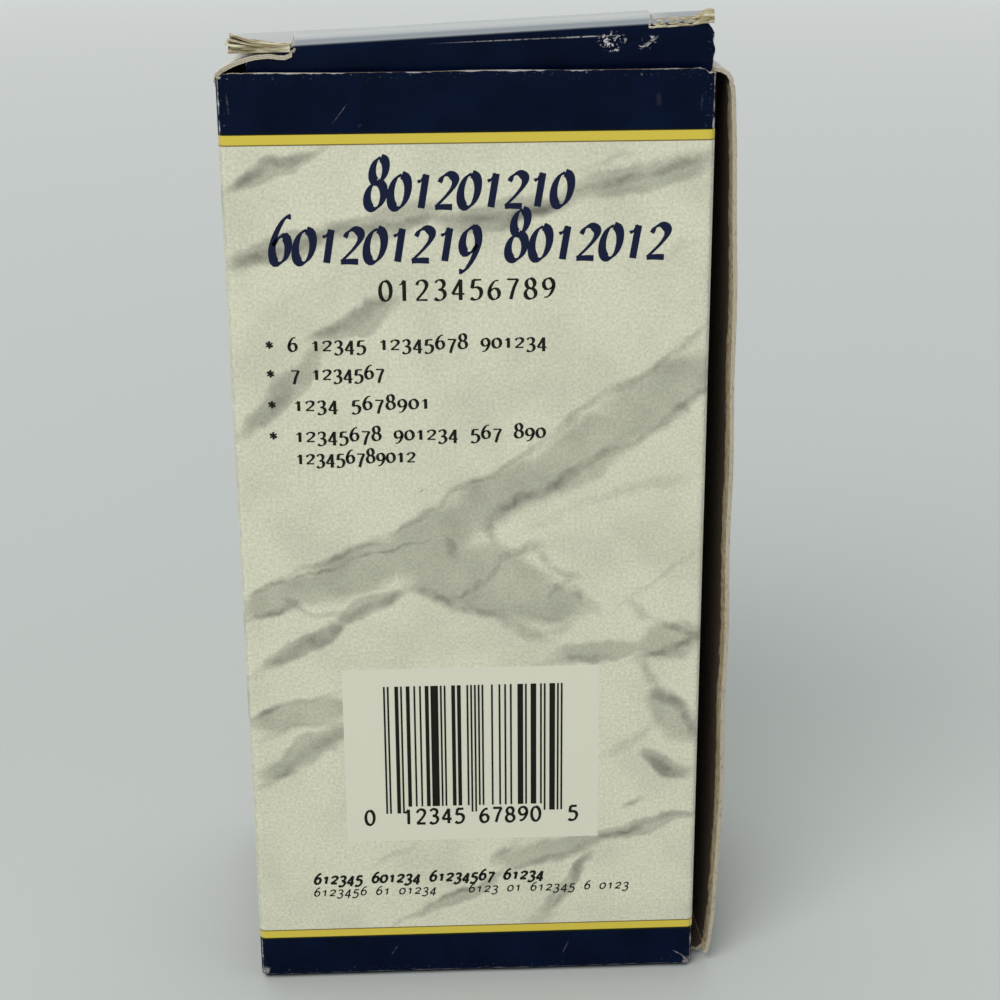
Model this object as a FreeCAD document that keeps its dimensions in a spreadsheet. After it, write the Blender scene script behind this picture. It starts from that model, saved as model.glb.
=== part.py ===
import FreeCAD, Part
import Sketcher
import math
import os
from types import SimpleNamespace

# Boxed numbering machine. Millimetres, +Z up, X to the right, the printed front wall of the
# carton faces -Y. The origin is the middle of the carton's foot, on the surface it stands on.
# The machine stands inside with its own front towards +X, its wheel axle along Y.

SIZES = {
    # Carton blank, sized by what it holds
    "machine_front_gap": 2.8,
    "machine_side_gap": 2.8,
    "knob_headroom": 7.0,
    "board": 0.7,
    "crease_gap": 0.3,
    "corner_round": 1.2,
    "glue_tab_width": 10.5,
    "glue_tab_inset": 8.0,
    "seam_gap_top": 1.4,
    "seam_gap_middle": 4.0,
    "seam_gap_bottom": 2.1,
    "seam_setback": 1.5,
    "flap_side_gap": 0.6,
    "lid_rise_left": 4.4,
    "lid_rise_right": 8.25,
    "lid_front_inset": 1.6,
    "crease_roll_radius": 0.9,
    "slit_left": 12.0,
    "slit_right": 10.0,
    "tuck_length": 17.0,
    "tuck_lean": 2.0,
    "tuck_shoulder": 7.5,
    "tuck_end_gap": 0.9,
    "dust_flap_reach": 27.5,
    "dust_flap_nose": 6.2,
    "dust_flap_step": 1.0,
    "dust_front_clear": 3.0,
    "dust_back_gap": 8.0,
    "dust_taper": 8.0,
    "bottom_tuck_length": 10.0,
    "bottom_tuck_lean": 1.4,
    "bottom_front_gap": 3.0,
    "bottom_front_taper": 13.5,
    "bottom_back_gap": 2.2,
    # Partition and loose things
    "partition_gap": 1.3,
    "partition_return": 10.0,
    "partition_headroom": 13.0,
    "partition_wall_gap": 0.3,
    "partition_notch_depth": 3.8,
    "partition_notch_height": 14.5,
    "leaflet_width": 48.0,
    "leaflet_height": 130.0,
    "leaflet_leaf": 0.4,
    "leaflet_parting": 0.2,
    "leaflet_wall_gap": 0.4,
    "bottle_radius": 11.0,
    "bottle_height": 38.0,
    "bottle_shoulder": 5.0,
    "bottle_edge_round": 2.0,
    "bottle_wall": 1.0,
    "bottle_neck_radius": 5.0,
    "bottle_neck_height": 6.0,
    "bottle_from_front": 16.0,
    "cap_radius": 7.0,
    "cap_height": 10.0,
    "nozzle_height": 9.0,
    "nozzle_tip_radius": 1.8,
    "cap_fit": 0.05,
    "stylus_radius": 3.2,
    "stylus_handle_length": 82.0,
    "stylus_ferrule_length": 9.0,
    "stylus_neck_radius": 1.9,
    "stylus_end_round": 1.6,
    "stylus_tip_radius": 0.9,
    "stylus_tip_length": 24.0,
    "stylus_seat": 7.0,
    "stylus_from_back": 12.0,
    "loose_gap": 0.3,
    # Machine frame
    "base_back": 18.2,
    "base_front": 30.0,
    "base_thickness": 5.0,
    "base_corner": 4.0,
    "window_half_depth": 12.0,
    "window_side_gap": 4.0,
    "frame_thickness": 3.0,
    "frame_back": 17.5,
    "frame_lug_front": 21.0,
    "frame_front": 17.2,
    "frame_lug_height": 31.0,
    "frame_shoulder": 7.0,
    "frame_top": 76.0,
    "frame_slot_width": 14.0,
    "frame_slot_bottom": 12.0,
    "frame_slot_height": 28.0,
    "flange_width": 3.9,
    "flange_thickness": 2.6,
    "screw_radius": 1.2,
    "screw_head_radius": 1.9,
    "screw_head_height": 1.3,
    "screw_length": 6.0,
    "screw_inset": 5.0,
    "bridge_thickness": 12.0,
    "bridge_front": 15.7,
    "bushing_radius": 6.5,
    "neck_flange_radius": 14.5,
    "neck_flange_thickness": 3.0,
    "neck_radius": 9.0,
    "neck_bore": 7.8,
    "neck_height": 36.0,
    "neck_screw_circle": 11.8,
    "cover_thickness": 0.7,
    "back_cover_bottom": 20.0,
    "front_cover_thickness": 1.2,
    "front_cover_bottom": 42.0,
    "tie_rod_radius": 1.5,
    "tie_rod_drop": 6.0,
    "tie_rod_back": 14.5,
    # Plunger and carriage
    "stroke": 18.0,
    "shaft_radius": 5.0,
    "running_fit": 0.05,
    "spring_wire": 0.8,
    "spring_mean_radius": 6.6,
    "spring_turns": 10.0,
    "skirt_radius": 11.5,
    "skirt_bore": 9.5,
    "skirt_overlap": 5.0,
    "skirt_headroom": 3.0,
    "ferrule_top": 3.0,
    "knob_radius": 18.0,
    "knob_crown": 15.0,
    "knob_crown_round": 11.0,
    "knob_brim_round": 2.5,
    "knob_bottom_radius": 13.4,
    "knob_height": 34.0,
    "knob_skirt_cover": 13.0,
    "knob_bore_gap": 0.1,
    "handle_screw_head": 4.5,
    "handle_screw_head_height": 2.4,
    "handle_screw_recess": 3.4,
    "yoke_plate": 2.2,
    "yoke_side_gap": 0.7,
    "yoke_half_depth": 8.0,
    "yoke_foot": 5.0,
    "yoke_head": 9.7,
    "yoke_ear_back": 14.5,
    "yoke_ear_low": 9.0,
    "yoke_ear_high": 16.0,
    "stop_gap": 0.3,
    "axle_radius": 3.0,
    "nut_radius": 4.2,
    "nut_thickness": 1.8,
    # Number wheels
    "wheel_radius": 10.8,
    "wheel_pitch": 3.9,
    "wheel_width": 3.5,
    "digit_relief": 0.9,
    "digit_width": 2.5,
    "digit_height": 4.6,
    "digit_count": 10,
    "wheel_count": 6,
    "ratchet_radius": 8.4,
    "ratchet_tooth": 1.3,
    "ratchet_thickness": 0.7,
    "print_gap": 0.2,
    "detent_back": 5.0,
    "detent_thickness": 0.6,
    "detent_finger": 2.4,
    "detent_gap": 0.4,
    "detent_comb_depth": 5.0,
    "pawl_back": 12.0,
    "pawl_rise": 12.5,
    "pawl_hub": 2.2,
    "pawl_pin": 1.1,
    "pawl_thickness": 1.1,
    "pawl_length": 14.5,
    "pawl_tooth": 2.6,
    "pawl_tooth_length": 6.0,
    "pawl_side_gap": 0.5,
    # Inking
    "pad_gap": 0.3,
    "pad_half_depth": 4.8,
    "pad_half_width": 11.4,
    "pad_thickness": 2.3,
    "tray_wall": 0.6,
    "tray_depth": 1.7,
    "arm_pivot_forward": 13.0,
    "arm_pivot_rise": 13.0,
    "arm_side_gap": 0.6,
    "arm_frame_gap": 1.2,
    "arm_thickness": 1.6,
    "arm_width": 4.0,
    "arm_boss": 3.4,
    "arm_pin": 1.5,
    "arm_bar_height": 1.5,
    "arm_bar_half_depth": 3.0,
    # Selector and lock
    "selector_drop": 11.0,
    "index_radius": 11.0,
    "index_thickness": 0.7,
    "selector_gap": 0.3,
    "lever_hub_radius": 3.2,
    "lever_thickness": 2.2,
    "lever_reach": 9.5,
    "lever_width": 2.6,
    "lever_knob_radius": 1.9,
    "lever_knob_height": 2.0,
    "selector_stem": 1.2,
    "selector_screw_radius": 2.1,
    "selector_screw_height": 1.0,
    "lock_radius": 2.5,
    "lock_travel": 2.0,
    "lock_out": 3.0,
    "lock_in": 3.2,
    "lock_side": 10.5,
    "lock_drop": 7.0,
    "overrun": 1.0,
}

doc = FreeCAD.newDocument("boxed_numbering_machine")
sheet = doc.addObject("Spreadsheet::Sheet", "sizes")
for row, (alias, value) in enumerate(SIZES.items(), 1):
    sheet.set(f"A{row}", alias)
    sheet.set(f"B{row}", str(value))
    sheet.setAlias(f"B{row}", alias)
doc.recompute()


class Size:
    """A length that carries its number and the sheet expression that gives it."""

    def __init__(self, value, text):
        self.value = value
        self.text = text

    def __add__(self, other):
        other = as_size(other)
        return Size(self.value + other.value, f"({self.text} + {other.text})")

    def __sub__(self, other):
        other = as_size(other)
        return Size(self.value - other.value, f"({self.text} - {other.text})")

    def __mul__(self, other):
        other = as_size(other)
        return Size(self.value * other.value, f"({self.text} * {other.text})")

    def __truediv__(self, other):
        other = as_size(other)
        return Size(self.value / other.value, f"({self.text} / {other.text})")

    def __neg__(self):
        return Size(-self.value, f"(0 - {self.text})")

    __radd__ = __add__
    __rmul__ = __mul__

    def __rsub__(self, other):
        return as_size(other) - self


def as_size(value):
    return value if isinstance(value, Size) else Size(float(value), str(value))


d = SimpleNamespace(**{alias: Size(float(sheet.get(alias)), f"sizes.{alias}") for alias in SIZES})
wheel_count = int(round(d.wheel_count.value))
digit_count = int(round(d.digit_count.value))
nodes = {}
nearly_flat = 1e-4


def bind(thing, **properties):
    """Bind each property, with a double underscore for a dot, to its sheet expression."""
    for name, value in properties.items():
        thing.setExpression(name.replace("__", "."), as_size(value).text)
    return thing


def add(kind):
    return doc.addObject(kind, kind.split("::")[1])


def name_node(name, thing):
    thing.Label = name
    nodes[name] = thing
    return thing


AXIS_TURNS = {
    "x": FreeCAD.Rotation(FreeCAD.Vector(0, 1, 0), 90),
    "y": FreeCAD.Rotation(FreeCAD.Vector(1, 0, 0), -90),
    "z": FreeCAD.Rotation(),
}


def put(thing, at, axis="z"):
    thing.Placement = FreeCAD.Placement(FreeCAD.Vector(), AXIS_TURNS[axis])
    x, y, z = at
    return bind(thing, Placement__Base__x=x, Placement__Base__y=y, Placement__Base__z=z)


def block(low, high):
    box = add("Part::Box")
    length, width, height = [b - a for a, b in zip(low, high)]
    bind(box, Length=length, Width=width, Height=height)
    return put(box, low)


def rod(radius, start, length, axis="z"):
    cylinder = bind(add("Part::Cylinder"), Radius=radius, Height=length)
    return put(cylinder, start, axis)


def taper(radius_start, radius_end, start, length, axis="z"):
    cone = bind(add("Part::Cone"), Radius1=radius_start, Radius2=radius_end, Height=length)
    return put(cone, start, axis)


def join(*parts):
    if len(parts) == 1:
        return parts[0]
    fuse = add("Part::MultiFuse")
    fuse.Shapes = list(parts)
    fuse.Refine = True
    return fuse


def cut(base, *tools):
    result = add("Part::Cut")
    result.Base = base
    result.Tool = join(*tools)
    result.Refine = True
    return result


def group(*parts):
    """Separate like solids in one node."""
    compound = add("Part::Compound")
    compound.Links = list(parts)
    return compound


def rounded(base, radius, edges):
    doc.recompute()
    fillet = add("Part::Fillet")
    fillet.Base = base
    fillet.Edges = [(edge, radius.value, radius.value) for edge in edges]
    return fillet


def upright_edges(shape):
    """Numbers of the straight edges that run along Z."""
    found = []
    for number, edge in enumerate(shape.Edges, 1):
        first, last = edge.Vertexes[0].Point, edge.Vertexes[-1].Point
        run = last - first
        if run.Length > 0 and abs(run.z) > run.Length * 0.999:
            found.append(number)
    return found


def rim_edges(shape, height):
    """Numbers of the round edges that lie at one height."""
    level = as_size(height).value
    found = []
    for number, edge in enumerate(shape.Edges, 1):
        rim = isinstance(edge.Curve, Part.Circle) and edge.BoundBox.ZLength < nearly_flat
        if rim and abs(edge.BoundBox.Center.z - level) < nearly_flat:
            found.append(number)
    return found


def draw_outline(sketch, points):
    """Closed outline of straight lines, each corner held from the sketch origin by expressions."""
    corners = [FreeCAD.Vector(as_size(x).value, as_size(y).value, 0) for x, y in points]
    count = len(corners)
    for index in range(count):
        sketch.addGeometry(Part.LineSegment(corners[index], corners[(index + 1) % count]))
    for index in range(count):
        sketch.addConstraint(Sketcher.Constraint("Coincident", index, 2, (index + 1) % count, 1))
    for index, (x, y) in enumerate(points):
        for kind, value in (("DistanceX", x), ("DistanceY", y)):
            value = as_size(value)
            number = sketch.addConstraint(Sketcher.Constraint(kind, -1, 1, index, 1, value.value))
            sketch.setExpression(f"Constraints[{number}]", value.text)


def new_sketch(body, plane, lift=None):
    sketch = body.newObject("Sketcher::SketchObject", "Outline")
    role = plane + "_Plane"
    origin_plane = [item for item in body.Origin.OriginFeatures if item.Role == role][0]
    sketch.AttachmentSupport = [(origin_plane, "")]
    sketch.MapMode = "FlatFace"
    if lift is not None:
        bind(sketch, AttachmentOffset__Base__z=lift)
    return sketch


def plate(plane, points, start, end):
    """Body padded from an outline on an origin plane, from start to end along the plane's normal."""
    body = doc.addObject("PartDesign::Body", "Plate")
    sketch = new_sketch(body, plane, start)
    draw_outline(sketch, points)
    pad = body.newObject("PartDesign::Pad", "Pad")
    pad.Profile = sketch
    bind(pad, Length=end - start)
    return body


def side_plate(points, start, end):
    """Plate in the XZ plane between two places along Y. That plane's normal is -Y."""
    return plate("XZ", points, -end, -start)


# Widths across the machine, from the wheels outwards

wheels_half = d.wheel_pitch * ((wheel_count - 1) / 2) + d.wheel_width / 2
yoke_inner = wheels_half + d.yoke_side_gap
yoke_outer = yoke_inner + d.yoke_plate
arm_inner = yoke_outer + d.nut_thickness + d.arm_side_gap
arm_outer = arm_inner + d.arm_thickness
frame_inner = arm_outer + d.arm_frame_gap
frame_outer = frame_inner + d.frame_thickness
base_half_width = frame_outer + d.flange_width

# Places in the carton: its inside is what the leaflet, bottle, partition and machine need

leaflet_thick = d.leaflet_leaf * 2 + d.leaflet_parting
accessory_bay = d.leaflet_wall_gap + leaflet_thick + d.bottle_radius * 2 + d.loose_gap * 4
machine_bay = d.partition_gap + d.base_back + d.base_front + d.machine_front_gap
inner_half_width = (accessory_bay + d.board + machine_bay) / 2
inner_half_depth = base_half_width + d.machine_side_gap
half_width = inner_half_width + d.board
half_depth = inner_half_depth + d.board
half_board = d.board / 2
front_wall_bottom = d.board + d.crease_gap
bottom_flap_low = front_wall_bottom
bottom_flap_top = bottom_flap_low + d.board
side_wall_bottom = bottom_flap_top + d.crease_gap
floor = bottom_flap_top + d.loose_gap
frame_top_z = floor + d.frame_top
neck_top = frame_top_z + d.neck_height
skirt_low = neck_top - d.skirt_overlap
knob_low = skirt_low + d.knob_skirt_cover
knob_top = knob_low + d.knob_height
top_flap_low = knob_top + d.knob_headroom
side_wall_top = top_flap_low - d.crease_gap
carton_top = top_flap_low + d.board + d.crease_gap
lid_axis_y = half_depth - half_board
lid_axis_z = carton_top + half_board
lid_width = (half_width - d.flap_side_gap) * 2
side_panel_x = half_width + d.crease_gap + half_board
partition_face = -inner_half_width + accessory_bay + d.board
crease_y = -(half_depth - d.lid_front_inset)
seam_y = -(half_depth - d.seam_setback)


def carton_wall_shell():
    """Front, left and back walls and the glue tab: one board, folded round three corners."""
    outer = block((-half_width, -half_depth, front_wall_bottom),
                  (half_width, half_depth, carton_top))
    inner = block((-inner_half_width, -inner_half_depth, front_wall_bottom - d.overrun),
                  (inner_half_width, inner_half_depth, carton_top + d.overrun))
    doc.recompute()
    outer = rounded(outer, d.corner_round, upright_edges(outer.Shape))
    inner = rounded(inner, d.corner_round - d.board, upright_edges(inner.Shape))
    tab_end = -half_depth + d.glue_tab_width
    right_wall = block((inner_half_width - d.overrun, tab_end, -d.overrun),
                       (half_width + d.overrun, inner_half_depth, carton_top + d.overrun))
    tab_low = block((inner_half_width - d.overrun, -inner_half_depth, -d.overrun),
                    (half_width + d.overrun, tab_end + d.overrun, d.glue_tab_inset))
    tab_top = carton_top - d.glue_tab_inset
    tab_high = block((inner_half_width - d.overrun, -inner_half_depth, tab_top),
                     (half_width + d.overrun, tab_end + d.overrun, carton_top + d.overrun))
    left_low = block((-half_width - d.overrun, -inner_half_depth, -d.overrun),
                     (-inner_half_width + d.overrun, inner_half_depth, side_wall_bottom))
    left_high = block((-half_width - d.overrun, -inner_half_depth, side_wall_top),
                      (-inner_half_width + d.overrun, inner_half_depth, carton_top + d.overrun))
    back_high = block((-half_width - d.overrun, inner_half_depth, carton_top - d.crease_gap),
                      (half_width + d.overrun, half_depth + d.overrun, carton_top + d.overrun))
    shell = cut(outer, inner, right_wall, tab_low, tab_high, left_low, left_high, back_high)
    return name_node("carton_wall_shell", shell)


def point(x, y, z):
    return FreeCAD.Vector(*[as_size(value).value for value in (x, y, z)])


def side_section(y, x_low, x_middle, x_high):
    """Closed strip across the side panel at one depth: its two faces are arcs in height."""
    middle_z = (side_wall_bottom + side_wall_top) / 2
    faces = []
    for offset in (-half_board, half_board):
        low = point(x_low + offset, y, side_wall_bottom)
        middle = point(x_middle + offset, y, middle_z)
        high = point(x_high + offset, y, side_wall_top)
        if (high - low).getAngle(middle - low) > 1e-6:
            faces.append(Part.Arc(low, middle, high).toShape())
        else:
            faces.append(Part.LineSegment(low, high).toShape())
    inner, outer = faces
    lower = Part.LineSegment(inner.Vertexes[0].Point, outer.Vertexes[0].Point).toShape()
    upper = Part.LineSegment(inner.Vertexes[-1].Point, outer.Vertexes[-1].Point).toShape()
    return Part.Wire(Part.__sortEdges__([lower, outer, upper, inner]))


def carton_seam_side_panel():
    """Right wall: straight at its back crease, bowed out along the raw front edge."""
    back = side_section(lid_axis_y, side_panel_x, side_panel_x, side_panel_x)
    front = side_section(seam_y, side_panel_x + d.seam_gap_bottom,
                         side_panel_x + d.seam_gap_middle, side_panel_x + d.seam_gap_top)
    feature = add("Part::Feature")
    feature.Shape = Part.makeLoft([back, front], True, True)
    return name_node("carton_seam_side_panel", feature)


def top_lid():
    """Lid board, twisted because its right side has sprung higher, with the crease roll between its slits."""
    def end_section(x, rise):
        front_z = lid_axis_z + rise
        corners = [point(x, lid_axis_y, lid_axis_z - half_board),
                   point(x, lid_axis_y, lid_axis_z + half_board),
                   point(x, crease_y, front_z + half_board),
                   point(x, crease_y, front_z - half_board)]
        return Part.makePolygon(corners + corners[:1])

    board = Part.makeLoft([end_section(-lid_width / 2, d.lid_rise_left),
                           end_section(lid_width / 2, d.lid_rise_right)], True, True)
    start = crease_point(d.slit_left)
    end = crease_point(lid_width - d.slit_right)
    roll = Part.makeCylinder(d.crease_roll_radius.value, (end - start).Length, start, end - start)
    feature = add("Part::Feature")
    feature.Shape = board.fuse(roll).removeSplitter()
    return name_node("top_lid", feature)


def crease_point(from_left):
    """Point on the slanted crease between lid and tuck flap, by its place along the lid."""
    share = as_size(from_left) / lid_width
    rise = d.lid_rise_left + (d.lid_rise_right - d.lid_rise_left) * share
    return point(as_size(from_left) - lid_width / 2, crease_y, lid_axis_z + rise)


def top_tuck_flap():
    """Tuck flap below the crease, leaning inwards, its left shoulder cut back."""
    left = crease_point(0)
    along = crease_point(lid_width) - left
    along.normalize()
    lean = math.atan2(d.tuck_lean.value, d.tuck_length.value)
    down = FreeCAD.Vector(0, math.sin(lean), -math.cos(lean))
    down = (down - along * down.dot(along)).normalize()
    outward = down.cross(along)
    top = d.crease_roll_radius + d.crease_gap
    corners = [(d.slit_left, top), (lid_width - d.tuck_end_gap, top),
               (lid_width - d.tuck_end_gap, d.tuck_length - d.tuck_shoulder),
               (lid_width - d.tuck_shoulder, d.tuck_length), (d.slit_left, d.tuck_length),
               (d.tuck_shoulder, d.tuck_length - d.tuck_shoulder),
               (d.tuck_shoulder, top + d.tuck_shoulder / 2)]
    body = plate("XY", corners, -half_board, half_board)
    turn = FreeCAD.Rotation(along, down, outward * -1, "XYZ")
    body.Placement = FreeCAD.Placement(left, turn)
    return name_node("top_tuck_flap", body)


def top_dust_flaps():
    """Dust flaps of the top: the left one on the left wall, the right one on the side panel."""
    front = -(half_depth - d.board - d.crease_gap * 2)
    behind_tuck = -(half_depth - d.board - d.dust_front_clear)
    left = -half_width
    tip = left + d.dust_flap_reach
    back = lid_axis_y - d.dust_back_gap
    outline = [(left, front), (left + d.dust_flap_nose, front),
               (left + d.dust_flap_nose + d.dust_flap_step, behind_tuck), (tip, behind_tuck),
               (tip, back - d.dust_taper), (left, back)]
    name_node("top_dust_flap_left", plate("XY", outline, top_flap_low, top_flap_low + d.board))
    pivot_x, pivot_y = side_panel_x, lid_axis_y
    reach = pivot_y - behind_tuck - d.crease_gap
    right_back = pivot_x + half_board
    tip = pivot_x - d.dust_flap_reach
    front_round = [(tip, pivot_y - leg(reach, d.dust_flap_reach)),
                   (tip + d.dust_flap_reach / 3, pivot_y - leg(reach, d.dust_flap_reach * 2 / 3)),
                   (tip + d.dust_flap_reach * 2 / 3, pivot_y - leg(reach, d.dust_flap_reach / 3)),
                   (right_back + d.seam_gap_top, pivot_y - reach)]
    outline = front_round + [(right_back, back), (tip, back - d.dust_taper)]
    name_node("top_dust_flap_right", plate("XY", outline, top_flap_low, top_flap_low + d.board))


def leg(slant, other):
    """Second leg of a right triangle, from its slant side and the other leg."""
    slant, other = as_size(slant), as_size(other)
    value = math.sqrt(slant.value ** 2 - other.value ** 2)
    return Size(value, f"sqrt({slant.text} ^ 2 - {other.text} ^ 2)")


def bottom_flaps():
    """Bottom closure: a lid hinged on the front wall, its tuck flap at the back, and two dust flaps."""
    tuck_y = half_depth - d.board * 2
    lid = block((-lid_width / 2, -half_depth, 0), (lid_width / 2, tuck_y + half_board, d.board))
    name_node("bottom_lid", lid)
    high = bottom_flap_low + d.bottom_tuck_length
    lean = d.bottom_tuck_lean
    end = lid_width / 2 - d.tuck_end_gap
    profile = [(tuck_y - half_board, bottom_flap_low), (tuck_y + half_board, bottom_flap_low),
               (tuck_y + half_board - lean, high), (tuck_y - half_board - lean, high)]
    name_node("bottom_tuck_flap", plate("YZ", profile, -end, end))
    front = -lid_axis_y + d.bottom_front_gap
    back = tuck_y - d.bottom_back_gap + half_board
    left = -half_width
    tip = left + d.dust_flap_reach
    outline = [(left, front), (tip, front + d.bottom_front_taper), (tip, back), (left, back)]
    name_node("bottom_dust_flap_left", plate("XY", outline, bottom_flap_low, bottom_flap_top))
    right = side_panel_x + half_board
    tip = right - d.dust_flap_reach
    outline = [(right, back), (tip, back), (tip, front + d.bottom_front_taper),
               (right + d.seam_gap_bottom, front)]
    name_node("bottom_dust_flap_right", plate("XY", outline, bottom_flap_low, bottom_flap_top))


def inner_partition():
    """Upright card between the machine and the loose things, with a return along each wall."""
    back = partition_face - d.board
    end = inner_half_depth - d.partition_wall_gap
    inner = end - d.board
    far = back - d.partition_return
    outline = [(partition_face, -end), (partition_face, end), (far, end), (far, inner),
               (back, inner), (back, -inner), (far, -inner), (far, -end)]
    card = plate("XY", outline, floor, top_flap_low - d.partition_headroom)
    notch = block((far - d.overrun, end - d.partition_notch_depth, floor - d.overrun),
                  (partition_face + d.overrun, end + d.overrun, floor + d.partition_notch_height))
    return name_node("inner_partition", cut(card, notch))


def instruction_leaflet():
    """Sheet folded once and stood against the left wall."""
    back = -inner_half_width + d.leaflet_wall_gap
    front = back + leaflet_thick
    half = d.leaflet_width / 2
    inner = -half + d.leaflet_leaf
    outline = [(back, -half), (front, -half), (front, half), (front - d.leaflet_leaf, half),
               (front - d.leaflet_leaf, inner), (back + d.leaflet_leaf, inner),
               (back + d.leaflet_leaf, half), (back, half)]
    name_node("instruction_leaflet", plate("XY", outline, floor, floor + d.leaflet_height))


def ink_bottle():
    """Round bottle, the ink in it, and a screw cap with a nozzle."""
    x = partition_face - d.board - d.bottle_radius - d.loose_gap * 2
    y = -half_depth + d.bottle_from_front
    shoulder = floor + d.bottle_height
    neck = shoulder + d.bottle_shoulder
    top = neck + d.bottle_neck_height

    def flask(inset, neck_top):
        radius = d.bottle_radius - inset
        bottom = floor + inset
        barrel = rod(radius, (x, y, bottom), shoulder - bottom)
        doc.recompute()
        return join(rounded(barrel, d.bottle_edge_round - inset, rim_edges(barrel.Shape, bottom)),
                    taper(radius, d.bottle_neck_radius - inset, (x, y, shoulder), d.bottle_shoulder),
                    rod(d.bottle_neck_radius - inset, (x, y, neck), neck_top - neck))

    outside = flask(Size(0.0, "0"), top)
    name_node("ink_bottle", cut(outside, flask(d.bottle_wall, top + d.overrun)))
    name_node("ink_fill", flask(d.bottle_wall, neck + d.bottle_wall))
    cap_low = neck + d.cap_fit
    cap_top = cap_low + d.cap_height
    body = join(rod(d.cap_radius, (x, y, cap_low), d.cap_height),
                taper(d.cap_radius - d.bottle_wall, d.nozzle_tip_radius, (x, y, cap_top), d.nozzle_height))
    hollow = rod(d.bottle_neck_radius + d.cap_fit, (x, y, cap_low - d.overrun),
                 d.bottle_neck_height + d.overrun + d.loose_gap)
    name_node("ink_bottle_cap", cut(body, hollow))


def stylus():
    """Wheel-setting stylus: a turned handle over a steel point, standing point down."""
    x = (partition_face - half_width) / 2
    y = half_depth - d.stylus_from_back
    collar = floor + d.stylus_tip_length
    grip = collar + d.stylus_ferrule_length
    tip = taper(d.stylus_tip_radius / 2, d.stylus_tip_radius, (x, y, floor), d.stylus_tip_radius * 2)
    shank_start = floor + d.stylus_tip_radius * 2
    shank = rod(d.stylus_tip_radius, (x, y, shank_start), collar + d.stylus_seat - shank_start)
    name_node("stylus_tip", join(tip, shank))
    handle = join(taper(d.stylus_neck_radius, d.stylus_radius, (x, y, collar), d.stylus_ferrule_length),
                  rod(d.stylus_radius, (x, y, grip), d.stylus_handle_length - d.stylus_end_round),
                  taper(d.stylus_radius, d.stylus_neck_radius,
                        (x, y, grip + d.stylus_handle_length - d.stylus_end_round), d.stylus_end_round))
    seat = rod(d.stylus_tip_radius, (x, y, collar - d.overrun), d.stylus_seat + d.overrun)
    name_node("stylus_handle", cut(handle, seat))


# Places in the machine, whose sole stands on the carton's floor

axis_x = inner_half_width - d.machine_front_gap - d.base_front
sole = floor
base_top = sole + d.base_thickness
axle_z = sole + d.print_gap + d.stroke + d.wheel_radius
bridge_low = frame_top_z - d.bridge_thickness
ceiling = neck_top + d.stroke + d.skirt_headroom
ferrule_high = ceiling + d.ferrule_top
head_top = bridge_low - d.stop_gap
head_low = head_top - d.yoke_head
pad_face = axle_z - d.wheel_radius - d.pad_gap
pivot_x = axis_x + d.arm_pivot_forward
pivot_z = pad_face + d.arm_pivot_rise
cover_front = axis_x + d.frame_front
cover_back = cover_front - d.front_cover_thickness
tie_rod_z = bridge_low - d.tie_rod_drop
lock_z = frame_top_z - d.lock_drop
selector_z = lock_z - d.selector_drop


AXIS_WAYS = {"x": (1, 0, 0), "y": (0, 1, 0), "z": (0, 0, 1)}


def shift(place, axis, distance):
    return [p + distance * w for p, w in zip(place, AXIS_WAYS[axis])]


def shank(place, axis, length, head_up=True):
    """Shank of a screw, or its hole, below the place of the head's seat."""
    return rod(d.screw_radius, shift(place, axis, -length) if head_up else place, length, axis)


def screw(place, axis, length, head_up=True):
    """Cheese-head screw whose head sits at the given place, its shank running the other way."""
    head = place if head_up else shift(place, axis, -d.screw_head_height)
    return join(shank(place, axis, length, head_up),
                rod(d.screw_head_radius, head, d.screw_head_height, axis))


frame_screw_places = [(axis_x - d.frame_back + d.screw_inset, frame_top_z - d.bridge_thickness / 2),
                      (axis_x + d.bridge_front - d.screw_inset, frame_top_z - d.bridge_thickness / 2)]
foot_screw_places = [axis_x - d.frame_back + d.screw_inset, axis_x + d.frame_lug_front - d.screw_inset]
flange_y = frame_outer + d.screw_head_radius + d.running_fit


def base_foot():
    """Heavy foot plate with the window that the wheels print through."""
    plate_block = block((axis_x - d.base_back, -base_half_width, sole),
                        (axis_x + d.base_front, base_half_width, base_top))
    doc.recompute()
    foot = rounded(plate_block, d.base_corner, upright_edges(plate_block.Shape))
    window_side = wheels_half + d.window_side_gap
    window = block((axis_x - d.window_half_depth, -window_side, sole - d.overrun),
                   (axis_x + d.window_half_depth, window_side, base_top + d.overrun))
    holes = [shank((x, side * flange_y, base_top), "z", d.screw_length / 2)
             for x in foot_screw_places for side in (-1, 1)]
    name_node("base_foot", cut(foot, window, *holes))


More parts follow.
